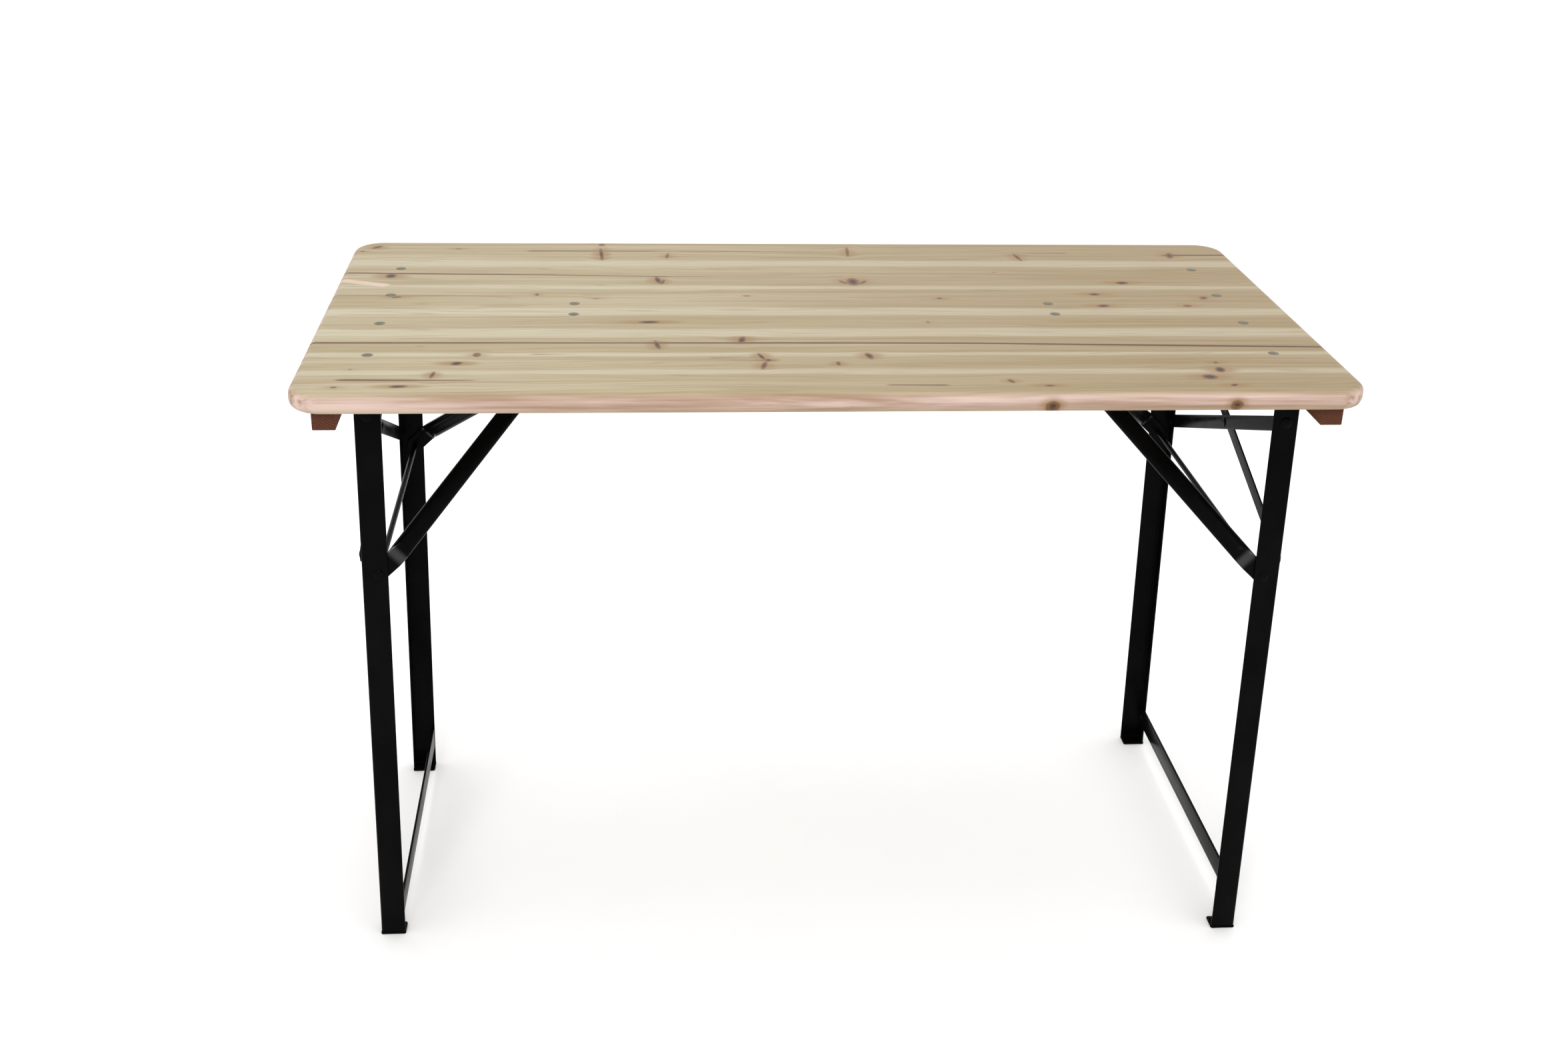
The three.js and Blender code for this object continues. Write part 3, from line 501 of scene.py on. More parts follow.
# %% Fir finish
def fir_finish():
    material, tree, shader = finish("lacquered_fir", Specular_IOR_Level=0.3)
    grain = node(tree, "ShaderNodeAttribute", attribute_name="grain").outputs["Vector"]
    _, across, down = node(tree, "ShaderNodeSeparateXYZ", {0: grain}).outputs
    # Growth rings: 118 to a metre across the board and 55 to a metre down, with some drift.
    drift = noise(tree, stretched(tree, grain, (1.6, 16, 9)), 1.0, 3, 0.55)
    rings = add(tree, times(tree, across, 118.0), times(tree, drift, 9.0))
    ring = math_node(tree, "FRACT", add(tree, rings, times(tree, down, 55.0)))
    late = between(tree, math_node(tree, "PINGPONG", minus(tree, ring, 0.06), 0.5), 0.30, 0.5)
    streak = noise(tree, stretched(tree, grain, (2.2, 90, 60)), 1.0, 4, 0.6, 0.3)
    fibre = noise(tree, stretched(tree, grain, (16, 900, 500)), 1.0, 3, 0.65)
    broad = noise(tree, stretched(tree, grain, (1.3, 14, 8)), 1.0, 2, 0.5)
    # Colours, from the widest patches to the finest marks. Summer wood is browner, and more so
    # towards one end; sapwood is pale.
    patches = between(tree, broad, 0.36, 0.64)
    color = mix(tree, patches, (0.375, 0.30, 0.178, 1), (0.43, 0.36, 0.24, 1))
    color = mix(tree, between(tree, streak, 0.42, 0.75), color, (0.315, 0.235, 0.13, 1))
    coords = node(tree, "ShaderNodeTexCoord").outputs["Object"]
    along_top = node(tree, "ShaderNodeSeparateXYZ", {0: coords}).outputs[0]
    browner = between(tree, along_top, -0.3, 0.5, 0.0, 0.5)
    browner = times(tree, browner, between(tree, broad, 0.3, 0.6, 0.55, 1.0))
    color = mix(tree, browner, color, (0.30, 0.212, 0.094, 1))
    ragged = times(tree, minus(tree, streak, 0.5), 0.5)
    pale = add(tree, stored(tree, "pale"), ragged, clamp=True)
    color = mix(tree, pale, color, (0.475, 0.425, 0.31, 1))
    color = mix(tree, times(tree, late, 0.34), color, (0.235, 0.152, 0.066, 1))
    color = mix(tree, between(tree, fibre, 0.35, 0.8, 0.0, 0.30), color, (0.20, 0.135, 0.062, 1))
    # Painted shade: the top is a little darker and browner, more so towards the right end.
    shade_falloff = between(tree, along_top, -0.5, 0.5)
    painted_shade_tint = mix(tree, shade_falloff, (0.91, 0.92, 0.89, 1), (0.785, 0.75, 0.685, 1))
    color = mix(tree, 1.0, color, painted_shade_tint, "MULTIPLY")
    rim_streak = between(tree, streak, 0.36, 0.66)
    rim_wood = mix(tree, rim_streak, (0.62, 0.46, 0.405, 1), (0.29, 0.165, 0.105, 1))
    color = mix(tree, times(tree, stored(tree, "edge"), 0.85), color, rim_wood)
    # Stains, pith and knots; a little noise breaks up their outlines.
    halo = between(tree, add(tree, stored(tree, "halo"), ragged, clamp=True), 0.3, 0.85, 0.0, 0.66)
    color = mix(tree, halo, color, (0.235, 0.125, 0.042, 1))
    stain = between(tree, add(tree, stored(tree, "stain"), ragged, clamp=True), 0.15, 1.0, 0.0, 0.36)
    color = mix(tree, stain, color, (0.24, 0.13, 0.055, 1))
    pith = add(tree, stored(tree, "pith"), ragged)
    color = mix(tree, between(tree, pith, 0.2, 0.6, 0.0, 0.97), color, (0.055, 0.02, 0.009, 1))
    knot = add(tree, stored(tree, "knot"), times(tree, minus(tree, fibre, 0.5), 0.35))
    color = mix(tree, between(tree, knot, 0.28, 0.5, 0.0, 0.92), color, (0.14, 0.064, 0.024, 1))
    color = mix(tree, between(tree, knot, 0.55, 0.85, 0.0, 0.92), color, (0.024, 0.009, 0.004, 1))
    torn = times(tree, stored(tree, "torn"), add(tree, fibre, 0.45))
    color = mix(tree, between(tree, torn, 0.45, 0.75, 0.0, 0.75), color, (0.60, 0.44, 0.36, 1))
    # Painted shadow: a thin dark ring round each bolt head, the shade of the recess it sits in.
    bolt_shadow_gap = math_node(tree, "ABSOLUTE", minus(tree, stored(tree, "around_bolt"), 5.8))
    color = mix(tree, between(tree, bolt_shadow_gap, 0.2, 1.0, 0.85, 0.0), color, (0.045, 0.035, 0.022, 1))
    tree.links.new(color, shader.inputs["Base Color"])
    tree.links.new(between(tree, streak, 0.3, 0.7, 0.40, 0.52), shader.inputs["Roughness"])
    ripple = noise(tree, object_coords(tree, (60, 6, 6)), 1.0, 1)
    waves = bump(tree, shader, ripple, 0.00022)
    relief = add(tree, times(tree, fibre, 0.6), times(tree, late, -0.7))
    bump(tree, shader, relief, 0.00006, waves)
    return material


fir = fir_finish()
boards = []
for index in range(len(board_boxes)):
    board = piece(f"board_{index + 1}", skin(board_grid(index)), "tabletop", fir, 50)
    store_wood(board, index)
    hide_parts(f"top_stave_{index + 1}")
    boards.append(board)
print("boards:", [len(board.data.polygons) for board in boards])

# %% [markdown]
# ## The battens
# A batten of rougher softwood is fixed under each end. It is a long square bar with slightly
# broken edges, so it is one outline given a length. Its finish is a solid of wood: rings round
# a heart line, seen as streaks along the sides and as arcs on the sawn ends. The ends are coloured
# darker and redder: end grain drinks the stain, and painted shade stands for the shadow under the top.

# %% Battens
def batten_finish():
    material, tree, shader = finish("stained_batten", Roughness=0.68, Specular_IOR_Level=0.12)
    coords = node(tree, "ShaderNodeTexCoord").outputs["Object"]
    x, y, z = node(tree, "ShaderNodeSeparateXYZ", {0: coords}).outputs
    wander = noise(tree, object_coords(tree, (12, 2.2, 12)), 1.0, 3, 0.55)
    # Rings round a heart line a little inside the batten and above it.
    across = minus(tree, math_node(tree, "ABSOLUTE", x), 0.531)
    down = minus(tree, z, 0.752)
    square = add(tree, times(tree, across, across), times(tree, down, down))
    spread = math_node(tree, "SQRT", square)
    wave = add(tree, times(tree, spread, 330.0), times(tree, wander, 3.0))
    late = between(tree, math_node(tree, "FRACT", wave), 0.45, 0.95)
    fibre = noise(tree, object_coords(tree, (700, 14, 700)), 1.0, 3, 0.65)
    color = mix(tree, late, (0.135, 0.050, 0.026, 1), (0.075, 0.024, 0.012, 1))
    color = mix(tree, between(tree, fibre, 0.4, 0.8, 0.0, 0.35), color, (0.052, 0.018, 0.009, 1))
    # Painted shade: the sawn ends are coloured darker than the sides, for the shadow under the top's
    # overhang; end grain also takes the stain darker.
    end = between(tree, math_node(tree, "ABSOLUTE", y), 0.2842, 0.2849)
    pores = noise(tree, object_coords(tree, (900, 900, 900)), 1.0, 2)
    shaded_sawn_end = mix(tree, late, (0.10, 0.034, 0.018, 1), (0.056, 0.018, 0.009, 1))
    shaded_sawn_end = mix(tree, between(tree, pores, 0.45, 0.75, 0.0, 0.5), shaded_sawn_end, (0.035, 0.012, 0.006, 1))
    color = mix(tree, end, color, shaded_sawn_end)
    tree.links.new(color, shader.inputs["Base Color"])
    bump(tree, shader, add(tree, fibre, times(tree, late, -0.6)), 0.00018)
    return material


batten_wood = batten_finish()
for side in ("left", "right"):
    low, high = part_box(f"{side}_batten")
    corners = [(low.x, low.z), (high.x, low.z), (high.x, high.z), (low.x, high.z)]
    bar = plate(rounded(corners, 1.2 * MM), low.y, high.y, 0.7 * MM)
    batten = piece(f"{side}_batten_bar", along("y", bar), "tabletop", batten_wood)
    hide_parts(f"{side}_batten")
print("batten:", round((high.y - low.y) / MM), "mm long")

# %% [markdown]
# ## Black gloss paint
# The frames are dipped in black enamel. It pools to a slight orange peel, it is a little duller
# where dust settled, and it is rubbed thin in small chips here and there. Only the roughness,
# the relief and the chips vary: the depth of the black is what makes it read as enamel.

# %% Metal finishes
def enamel_finish():
    material, tree, shader = finish("black_enamel", Specular_IOR_Level=0.028)
    cloud = noise(tree, object_coords(tree, (14, 14, 14)), 1.0, 4, 0.6)
    dust = noise(tree, object_coords(tree, (1300, 1300, 1300)), 1.0, 2)
    peel = noise(tree, object_coords(tree, (420, 420, 420)), 1.0, 2, 0.4)
    chips = noise(tree, object_coords(tree, (260, 260, 160)), 1.0, 5, 0.7)
    chip = between(tree, add(tree, chips, times(tree, cloud, 0.35)), 0.93, 0.97)
    depth = between(tree, cloud, 0.3, 0.7)
    color = mix(tree, depth, (0.0013, 0.0013, 0.0015, 1), (0.0026, 0.0026, 0.0029, 1))
    color = mix(tree, between(tree, dust, 0.66, 0.8, 0.0, 0.3), color, (0.011, 0.0105, 0.0105, 1))
    color = mix(tree, times(tree, chip, 0.8), color, (0.03, 0.025, 0.022, 1))
    tree.links.new(color, shader.inputs["Base Color"])
    # Where a tube is pressed flat, the paint is stretched tight and shines.
    crease = stored(tree, "crease")
    shine = between(tree, crease, 0.15, 1.0, 0.028, 0.6)
    tree.links.new(shine, shader.inputs["Specular IOR Level"])
    rough = add(tree, between(tree, cloud, 0.3, 0.75, 0.22, 0.32), times(tree, chip, 0.3))
    rough = minus(tree, rough, times(tree, crease, 0.13))
    tree.links.new(rough, shader.inputs["Roughness"])
    bump(tree, shader, minus(tree, peel, times(tree, chip, 0.9)), 0.000015)
    return material


def zinc_finish():
    material, tree, shader = finish("dull_zinc", Metallic=1.0)
    blotch = noise(tree, object_coords(tree, (240, 240, 240)), 1.0, 4, 0.6)
    fine = noise(tree, object_coords(tree, (2400, 2400, 2400)), 1.0, 2)
    color = mix(tree, between(tree, blotch, 0.35, 0.7), (0.10, 0.105, 0.075, 1), (0.21, 0.21, 0.155, 1))
    tree.links.new(color, shader.inputs["Base Color"])
    tree.links.new(between(tree, blotch, 0.3, 0.7, 0.34, 0.55), shader.inputs["Roughness"])
    bump(tree, shader, fine, 0.00002)
    return material


def spring_finish():
    material, tree, shader = finish("blued_spring_steel", Metallic=1.0)
    heat = noise(tree, object_coords(tree, (90, 90, 90)), 1.0, 3)
    rolled = noise(tree, object_coords(tree, (60, 2200, 900)), 1.0, 2)
    color = mix(tree, between(tree, heat, 0.35, 0.7), (0.10, 0.115, 0.17, 1), (0.23, 0.20, 0.17, 1))
    tree.links.new(color, shader.inputs["Base Color"])
    tree.links.new(between(tree, rolled, 0.3, 0.7, 0.26, 0.42), shader.inputs["Roughness"])
    bump(tree, shader, rolled, 0.00001)
    return material


enamel, zinc, spring_steel = enamel_finish(), zinc_finish(), spring_finish()


def painted(name, part, body, sharp_degrees=38):
    """A piece in black enamel."""
    return piece(name, part, body, enamel, sharp_degrees)


print("finishes:", [material.name for material in (enamel, zinc, spring_steel)])

# %% [markdown]
# ## Bolts through the top
# Twelve flat-headed bolts hold the ironwork. A head is a turned shape, hardly domed, let into the
# wood until it is almost flush. A hexagon nut is a plate with six corners. Each bolt with its nut
# is one piece, made from two closed lumps.

# %% Bolts
BOLT_HEAD, BOLT_SHANK, NUT_REACH = 5.5 * MM, 3 * MM, 6.1 * MM


def bolt_part(low, high):
    """A bolt between two heights: head, shank and tail turned about Z, and a nut near its tail."""
    seat, nut_low, nut_high = high - 2 * MM, low + 2 * MM, low + 7 * MM
    head = dome(BOLT_HEAD - 0.5 * MM, 0.25 * MM, high - 0.25 * MM)
    stem = [(BOLT_SHANK - 0.6 * MM, low), (BOLT_SHANK, low + 0.6 * MM), (BOLT_SHANK, seat),
            (BOLT_HEAD, seat), (BOLT_HEAD, high - 0.6 * MM)]
    turn = np.arange(6) / 6 * 2 * math.pi
    hexagon = rounded(np.stack([np.cos(turn), np.sin(turn)], -1) * NUT_REACH, 0.4 * MM, 3)
    return joined([revolved(stem + head.tolist()), plate(hexagon, nut_low, nut_high, 0.5 * MM)])


for name in bolt_nodes:
    low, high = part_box(name)
    middle = ((low.x + high.x) / 2, (low.y + high.y) / 2, 0)
    part = moved(bolt_part(low.z, high.z), middle)
    bolt = piece(name.replace("bolt", "screw"), part, "tabletop", zinc)
    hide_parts(name)
print("bolts:", len(bolt_nodes))

# %% [markdown]
# ## Where the frames stand
# Both ends are drawn once, for the left end, and the right end is that drawing turned half round.
# A leg frame is drawn with its hinge line at the origin and its legs straight down, then leaned
# outwards by its splay. A strut is drawn with its axle at the origin and its nose along X, then
# sloped up to the latch under the top.

# %% From a drawing to the table
SPLAY = math.radians(1.1)
HINGE = np.abs(joints["left_legs_fold"]["pos_m"])
AXLE = np.abs(joints["left_strut_fold"]["pos_m"])
LATCH_BAR = HINGE + (-215 * MM, 0, 13 * MM)
STRUT_SLOPE = math.atan2(LATCH_BAR[2] - AXLE[2], AXLE[0] - LATCH_BAR[0])
STRUT_LENGTH = math.hypot(LATCH_BAR[2] - AXLE[2], AXLE[0] - LATCH_BAR[0])
HALF_FRAME = {side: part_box(f"{side}_front_leg")[0].y * -1 for side in ("left", "right")}
SIDES = ("left", "right")


def turned_about_y(points, angle):
    """Points turned about Y: x' = x cos a + z sin a, z' = z cos a - x sin a."""
    x, y, z = points.T
    c, s = math.cos(angle), math.sin(angle)
    return np.stack([x * c + z * s, y, z * c - x * s], -1)


def at_end(points, side):
    """The left end's drawing as it is, or turned half round for the right end."""
    return points if side == "left" else points * (-1, -1, 1)


def on_frame(part, side):
    points, faces = part
    hinge = (-HINGE[0], 0, HINGE[2])
    return at_end(turned_about_y(points, SPLAY) + hinge, side), faces


def on_strut(part, side):
    points, faces = part
    axle = (-AXLE[0], 0, AXLE[2])
    return at_end(turned_about_y(points, -STRUT_SLOPE) + axle, side), faces


def end_name(side, end):
    """Which end of the table a drawn end is: -1 is the front on the left, the back on the right."""
    return "front" if (end < 0) == (side == "left") else "back"


print("strut:", round(STRUT_LENGTH / MM), "mm at", round(math.degrees(STRUT_SLOPE), 1), "degrees")
print("half frames:", {side: round(half / MM) for side, half in HALF_FRAME.items()})

# %% [markdown]
# ## Legs of bent angle iron
# A leg is a strip folded to an L: the outside of the fold is round and the inside nearly sharp,
# and the cut edges are a little soft under the paint. The section is one outline with six round
# corners, carried down the leg, with small rounded rims at both cut ends.

# %% Legs and feet
LEG_WIDTH, FLANGE, WALL = 30 * MM, 20 * MM, 2 * MM
LEG_TOP = 20 * MM
LEG_BOTTOM = -(HINGE[2] - 2.8 * MM - LEG_WIDTH / 2 * math.sin(SPLAY)) / math.cos(SPLAY)
FOOT_LENGTH, FOOT_WIDTH, FOOT_THICK = 31 * MM, 23 * MM, 2.5 * MM
INSIDE_X = -LEG_WIDTH / 2 + WALL + 0.4 * MM  # just inside the side flange


def leg_part(half_frame, end):
    """The L outline in (x, y), drawn from the fold outwards, carried from foot to top."""
    face, back = -LEG_WIDTH / 2, LEG_WIDTH / 2
    outline = rounded(
        [(face, 0), (back, 0), (back, -WALL),
         (face + WALL, -WALL), (face + WALL, -FLANGE), (face, -FLANGE)],
        np.array([3.2, 0.7, 0.7, 1.0, 0.7, 0.7]) * MM)
    outline = (outline + (0, half_frame)) * (1, end)
    return plate(outline, LEG_BOTTOM, LEG_TOP, 0.5 * MM)


def foot_part(half_frame, end):
    """The foot plate: a rectangle with round corners, level with the floor under a leaning leg."""
    outer = half_frame + 0.5 * MM
    corners = [(-FOOT_LENGTH / 2, outer - FOOT_WIDTH), (FOOT_LENGTH / 2, outer - FOOT_WIDTH),
               (FOOT_LENGTH / 2, outer), (-FOOT_LENGTH / 2, outer)]
    points, faces = plate(rounded(np.array(corners) * (1, end), 2.5 * MM), 0, FOOT_THICK, 0.6 * MM)
    level = turned_about_y(points, -SPLAY)
    level[:, 2] -= HINGE[2] / math.cos(SPLAY)
    return level, faces


def weld_bead(start, end, radius, ripples):
    """A fillet of weld along a line: a bumpy round bar, radius (1 + 0.12 sin(ripples)), closed ends."""
    start, end = np.array(start, float), np.array(end, float)
    t = np.linspace(0, 1, 8 * ripples + 1)
    direction = unit(end - start)
    side = unit(np.cross(direction, (0.3, 0.5, 0.81)))
    up = np.cross(direction, side)
    turn = np.arange(10) / 10 * 2 * math.pi
    tapered = np.clip(6 * np.minimum(t, 1 - t) + 0.35, 0, 1)
    thick = radius * (1 + 0.12 * np.abs(np.sin(t * math.pi * ripples))) * tapered
    circle = np.cos(turn)[:, None] * side + np.sin(turn)[:, None] * up
    return skin(start + t[:, None, None] * (end - start) + thick[:, None, None] * circle)


for side in SIDES:
    body, half_frame = f"{side}_leg_frame", HALF_FRAME[side]
    for end in (-1, 1):
        name = f"{side}_{end_name(side, end)}"
        leg = painted(f"{name}_angle_iron", on_frame(leg_part(half_frame, end), side), body)
        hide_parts(f"{name}_leg")
        foot = painted(f"{name}_foot_plate", on_frame(foot_part(half_frame, end), side), body)
        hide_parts(f"{name}_foot")
        low = LEG_BOTTOM + 0.2 * MM
        web_y = end * (half_frame - WALL - 0.4 * MM)
        beads = [weld_bead((INSIDE_X, web_y, low), (LEG_WIDTH / 2 - 1 * MM, web_y, low), 1.5 * MM, 7),
                 weld_bead((INSIDE_X, end * (half_frame - 4 * MM), low),
                           (INSIDE_X, end * (half_frame - 18 * MM), low), 1.4 * MM, 4)]
        painted(f"{name}_foot_weld", on_frame(joined(beads), side), body, 60)
print("leg:", round((LEG_TOP - LEG_BOTTOM) / MM), "mm long")

# %% [markdown]
# ## Braces, crossbars and rivets
# Two flat strips cross high up between the legs, and one crossbar ties them near the floor. Their
# ends are half circles, and a round-headed rivet goes through each. The narrow frame's crossbar
# is welded between the legs instead. A rivet head is a low dome, one of the simplest turned shapes.

# %% Braces and crossbars
BRACE_WIDTH, BRACE_THICK, BRACE_EDGE = 18 * MM, 2 * MM, 15.5 * MM
BRACE_TOP, BRACE_BOTTOM = -7 * MM, -176 * MM
CROSSBAR_Z, CROSSBAR_WIDTH, CROSSBAR_THICK = -655 * MM, 28 * MM, 3 * MM
# Rivets: the radius on a brace and on a crossbar, and how far each head stands out.
RIVET, BAR_RIVET, RIVET_IN, RIVET_OUT = 5 * MM, 5.5 * MM, 2.2 * MM, 1.8 * MM
TOUCH = 0.3 * MM
FLANGE_X = -LEG_WIDTH / 2


def strip_part(start, end, width, x_from, thick):
    """A strip between two (y, z) points, flat across x."""
    outline = round_ended(np.array(start), np.array(end), width / 2)
    return along("x", plate(outline, x_from, x_from + thick, 0.5 * MM))


def rivet_head(x, y, z, radius, height, facing):
    """A dome on a strip or a flange; `facing` is 1 towards +X and -1 towards -X."""
    points, faces = revolved(np.vstack([[radius * 0.98, -0.2 * MM], dome(radius, height)]), 20)
    points = points[:, [2, 0, 1]] * (facing, 1, 1) + (x, y, z)
    return points, faces


for side in SIDES:
    body, half_frame = f"{side}_leg_frame", HALF_FRAME[side]
    y = half_frame - BRACE_EDGE
    inner_x = FLANGE_X + WALL + TOUCH
    outer_x = FLANGE_X - TOUCH - BRACE_THICK
    front = -1 if side == "left" else 1
    for name, x, top_end in (("inner", inner_x, front), ("outer", outer_x, -front)):
        top, bottom = (top_end * y, BRACE_TOP), (-top_end * y, BRACE_BOTTOM)
        part = strip_part(top, bottom, BRACE_WIDTH, x, BRACE_THICK)
        strip = painted(f"{side}_{name}_brace_strip", on_frame(part, side), body)
        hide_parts(f"{side}_{name}_brace")
    heads = []
    for y_end, z in ((front, BRACE_TOP), (-front, BRACE_BOTTOM)):
        heads.append(rivet_head(inner_x + BRACE_THICK, y_end * y, z, RIVET, RIVET_IN, 1))
        heads.append(rivet_head(FLANGE_X, y_end * y, z, RIVET, RIVET_OUT, -1))
    for y_end, z in ((-front, BRACE_TOP), (front, BRACE_BOTTOM)):
        heads.append(rivet_head(FLANGE_X + WALL, y_end * y, z, RIVET, RIVET_IN, 1))
        heads.append(rivet_head(outer_x, y_end * y, z, RIVET, RIVET_OUT, -1))
    painted(f"{side}_brace_end_rivets", on_frame(joined(heads), side), body)
    middle = (BRACE_TOP + BRACE_BOTTOM) / 2
    pin = revolved([(3 * MM, outer_x), (3 * MM, inner_x + BRACE_THICK)])
    crossing = [(pin[0][:, [2, 0, 1]] + (0, 0, middle), pin[1]),
                rivet_head(inner_x + BRACE_THICK, 0, middle, 6 * MM, 1.8 * MM, 1),
                rivet_head(outer_x, 0, middle, 6 * MM, 1.8 * MM, -1)]
    spacer = revolved([(5 * MM, FLANGE_X - TOUCH), (5 * MM, FLANGE_X + WALL + TOUCH)])
    crossing.append((spacer[0][:, [2, 0, 1]] + (0, 0, middle), spacer[1]))
    rivet = painted(f"{side}_crossing_rivet", on_frame(joined(crossing), side), body)
    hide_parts(f"{side}_brace_rivet")

    if side == "left":
        x = LEG_WIDTH / 2 - 0.5 * MM - CROSSBAR_THICK
        reach = half_frame - WALL - TOUCH
        rectangle = [(-reach, CROSSBAR_Z - CROSSBAR_WIDTH / 2), (reach, CROSSBAR_Z - CROSSBAR_WIDTH / 2),
                     (reach, CROSSBAR_Z + CROSSBAR_WIDTH / 2), (-reach, CROSSBAR_Z + CROSSBAR_WIDTH / 2)]
        part = along("x", plate(rounded(rectangle, 0.7 * MM), x, x + CROSSBAR_THICK, 0.6 * MM))
        extras = [weld_bead((x - 0.4 * MM, end * (reach - 0.2 * MM), CROSSBAR_Z - 12 * MM),
                            (x - 0.4 * MM, end * (reach - 0.2 * MM), CROSSBAR_Z + 12 * MM), 1.5 * MM, 7)
                  for end in (-1, 1)]
    else:
        x = inner_x
        reach = half_frame - 17 * MM
        part = strip_part((-reach, CROSSBAR_Z), (reach, CROSSBAR_Z), CROSSBAR_WIDTH, x, CROSSBAR_THICK)
        extras = [head for end in (-1, 1) for head in (
            rivet_head(x + CROSSBAR_THICK, end * reach, CROSSBAR_Z, BAR_RIVET, RIVET_IN, 1),
            rivet_head(FLANGE_X, end * reach, CROSSBAR_Z, BAR_RIVET, RIVET_OUT, -1))]
    bar = painted(f"{side}_crossbar_strip", on_frame(part, side), body)
    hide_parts(f"{side}_lower_crossbar")
    painted(f"{side}_crossbar_fixings", on_frame(joined(extras), side), body, 60)
print("brace strips:", 4, "crossbars:", 2)

# %% [markdown]
# ## Axles and hinge pins
# The strut's axle is a round rod that runs right across the frame, with a peened head at each
# end. The hinge pins are short rivets of the same kind. Both are turned pieces laid along Y.

# %% Axles and pins
def rod_with_heads(low, high, radius, head, height):
    """A rod along Y between two seats, with a domed head outside each."""
    top = dome(head, height, high)
    bottom = (dome(head, height) * (1, -1) + (0, low))[::-1]
    return along("y", revolved(np.vstack([bottom, [(radius, low), (radius, high)], top]), 24))


for side in SIDES:
    half_frame = HALF_FRAME[side]
    seat = half_frame + 0.1 * MM
    axle_part = moved(rod_with_heads(-seat, seat, 3.5 * MM, 6.5 * MM, 2.6 * MM), (4 * MM, 0, -195 * MM))
    axle = painted(f"{side}_axle_rod", on_frame(axle_part, side), f"{side}_leg_frame")
    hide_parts(f"{side}_strut_axle")
    for end in ("front", "back"):
        low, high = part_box(f"{side}_{end}_hinge_pin")
        middle = ((low.x + high.x) / 2, 0, (low.z + high.z) / 2)
        shape = rod_with_heads(low.y + 2.5 * MM, high.y - 2.5 * MM, 4 * MM, 7 * MM, 2.5 * MM)
        pin = painted(f"{side}_{end}_hinge_rivet", moved(shape, middle), "tabletop")
        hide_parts(f"{side}_{end}_hinge_pin")
print("axle:", round(2 * HALF_FRAME["left"] / MM), "and", round(2 * HALF_FRAME["right"] / MM), "mm long")

# %% [markdown]
# ## Struts of flattened tube
# Each strut is a fork: two oval tubes run from the legs to one nose under the top. Where a tube
# meets its leg it is pressed flat into an eye and bent. One loft makes the arm. Its section is a
# superellipse, |a|^p and |b|^p, which is nearly a rectangle in the eye and an oval in the tube,
# and its half-width, half-height and p change smoothly along the path.

# %% Strut arms
EYE_OUT = WALL + 0.8 * MM
EYE_THICK, EYE_RADIUS, EYE_LENGTH = 4 * MM, 10.5 * MM, 26 * MM
TUBE_HALF_THICK, TUBE_HALF_HEIGHT = 7 * MM, 11 * MM
NOSE_BACK, NOSE_THICK, NOSE_HEIGHT = 41 * MM, 8 * MM, 22 * MM


def eased(value, low, high):
    """0 below low, 1 above high, and a smooth S between."""
    t = np.clip((value - low) / (high - low), 0, 1)
    return t * t * (3 - 2 * t)


def arm_part(half_frame, end, sides=36):
    """The arm's skin: rings square to the path, the first ones closing the eye's round end."""
    eye_y = half_frame - EYE_OUT - EYE_THICK / 2
    apex_x = STRUT_LENGTH - NOSE_BACK
    length = math.hypot(apex_x - EYE_LENGTH, eye_y)
    slant = math.atan2(eye_y, apex_x - EYE_LENGTH)
    round_end = -EYE_RADIUS * np.cos(np.linspace(0.06, math.pi / 2, 12))
    straight = np.linspace(0, EYE_LENGTH - 9 * MM, 6)[1:]
    bend = np.linspace(EYE_LENGTH - 9 * MM, EYE_LENGTH + 40 * MM, 26)[1:]
    run = np.linspace(EYE_LENGTH + 40 * MM, EYE_LENGTH + length - 5 * MM, 12)[1:]
    s = np.concatenate([round_end, straight, bend, run])
    # The heading turns from 0 to the slant over the bend; the path is its running sum.
    heading = slant * eased(s, EYE_LENGTH - 6 * MM, EYE_LENGTH + 6 * MM)
    mean = (heading[1:] + heading[:-1]) / 2
    steps = np.diff(s)
    x = s[0] + np.concatenate([[0], np.cumsum(np.cos(mean) * steps)])
    y = eye_y - np.concatenate([[0], np.cumsum(np.sin(mean) * steps)])
    opened = eased(s, EYE_LENGTH + 1 * MM, EYE_LENGTH + 19 * MM)
    half_thick = EYE_THICK / 2 + (TUBE_HALF_THICK - EYE_THICK / 2) * opened
    tall = EYE_RADIUS + (TUBE_HALF_HEIGHT - EYE_RADIUS) * eased(s, 4 * MM, EYE_LENGTH + 14 * MM)
    half_height = np.where(s < 0, np.sqrt(np.maximum(EYE_RADIUS**2 - s**2, 0.0)), tall)
    power = (0.32 + 0.5 * opened)[:, None]
    turn = np.arange(sides) / sides * 2 * math.pi
    across = np.sign(np.cos(turn)) * np.abs(np.cos(turn)) ** power * half_thick[:, None]
    up = np.sign(np.sin(turn)) * np.abs(np.sin(turn)) ** power * half_height[:, None]
    px = x[:, None] + np.sin(heading)[:, None] * across
    py = y[:, None] + np.cos(heading)[:, None] * across
    # The last ring slides along the tube until it lies on the nose's side.
    slide = (py[-1] - NOSE_THICK / 2 - 0.1 * MM) / math.sin(slant)
    px[-1] += slide * math.cos(slant)
    py[-1] -= slide * math.sin(slant)
    crease = np.exp(-(((s - EYE_LENGTH - 4 * MM) / (6 * MM)) ** 2))
    return skin(np.stack([px, end * py, up], -1)), np.repeat(crease, sides)


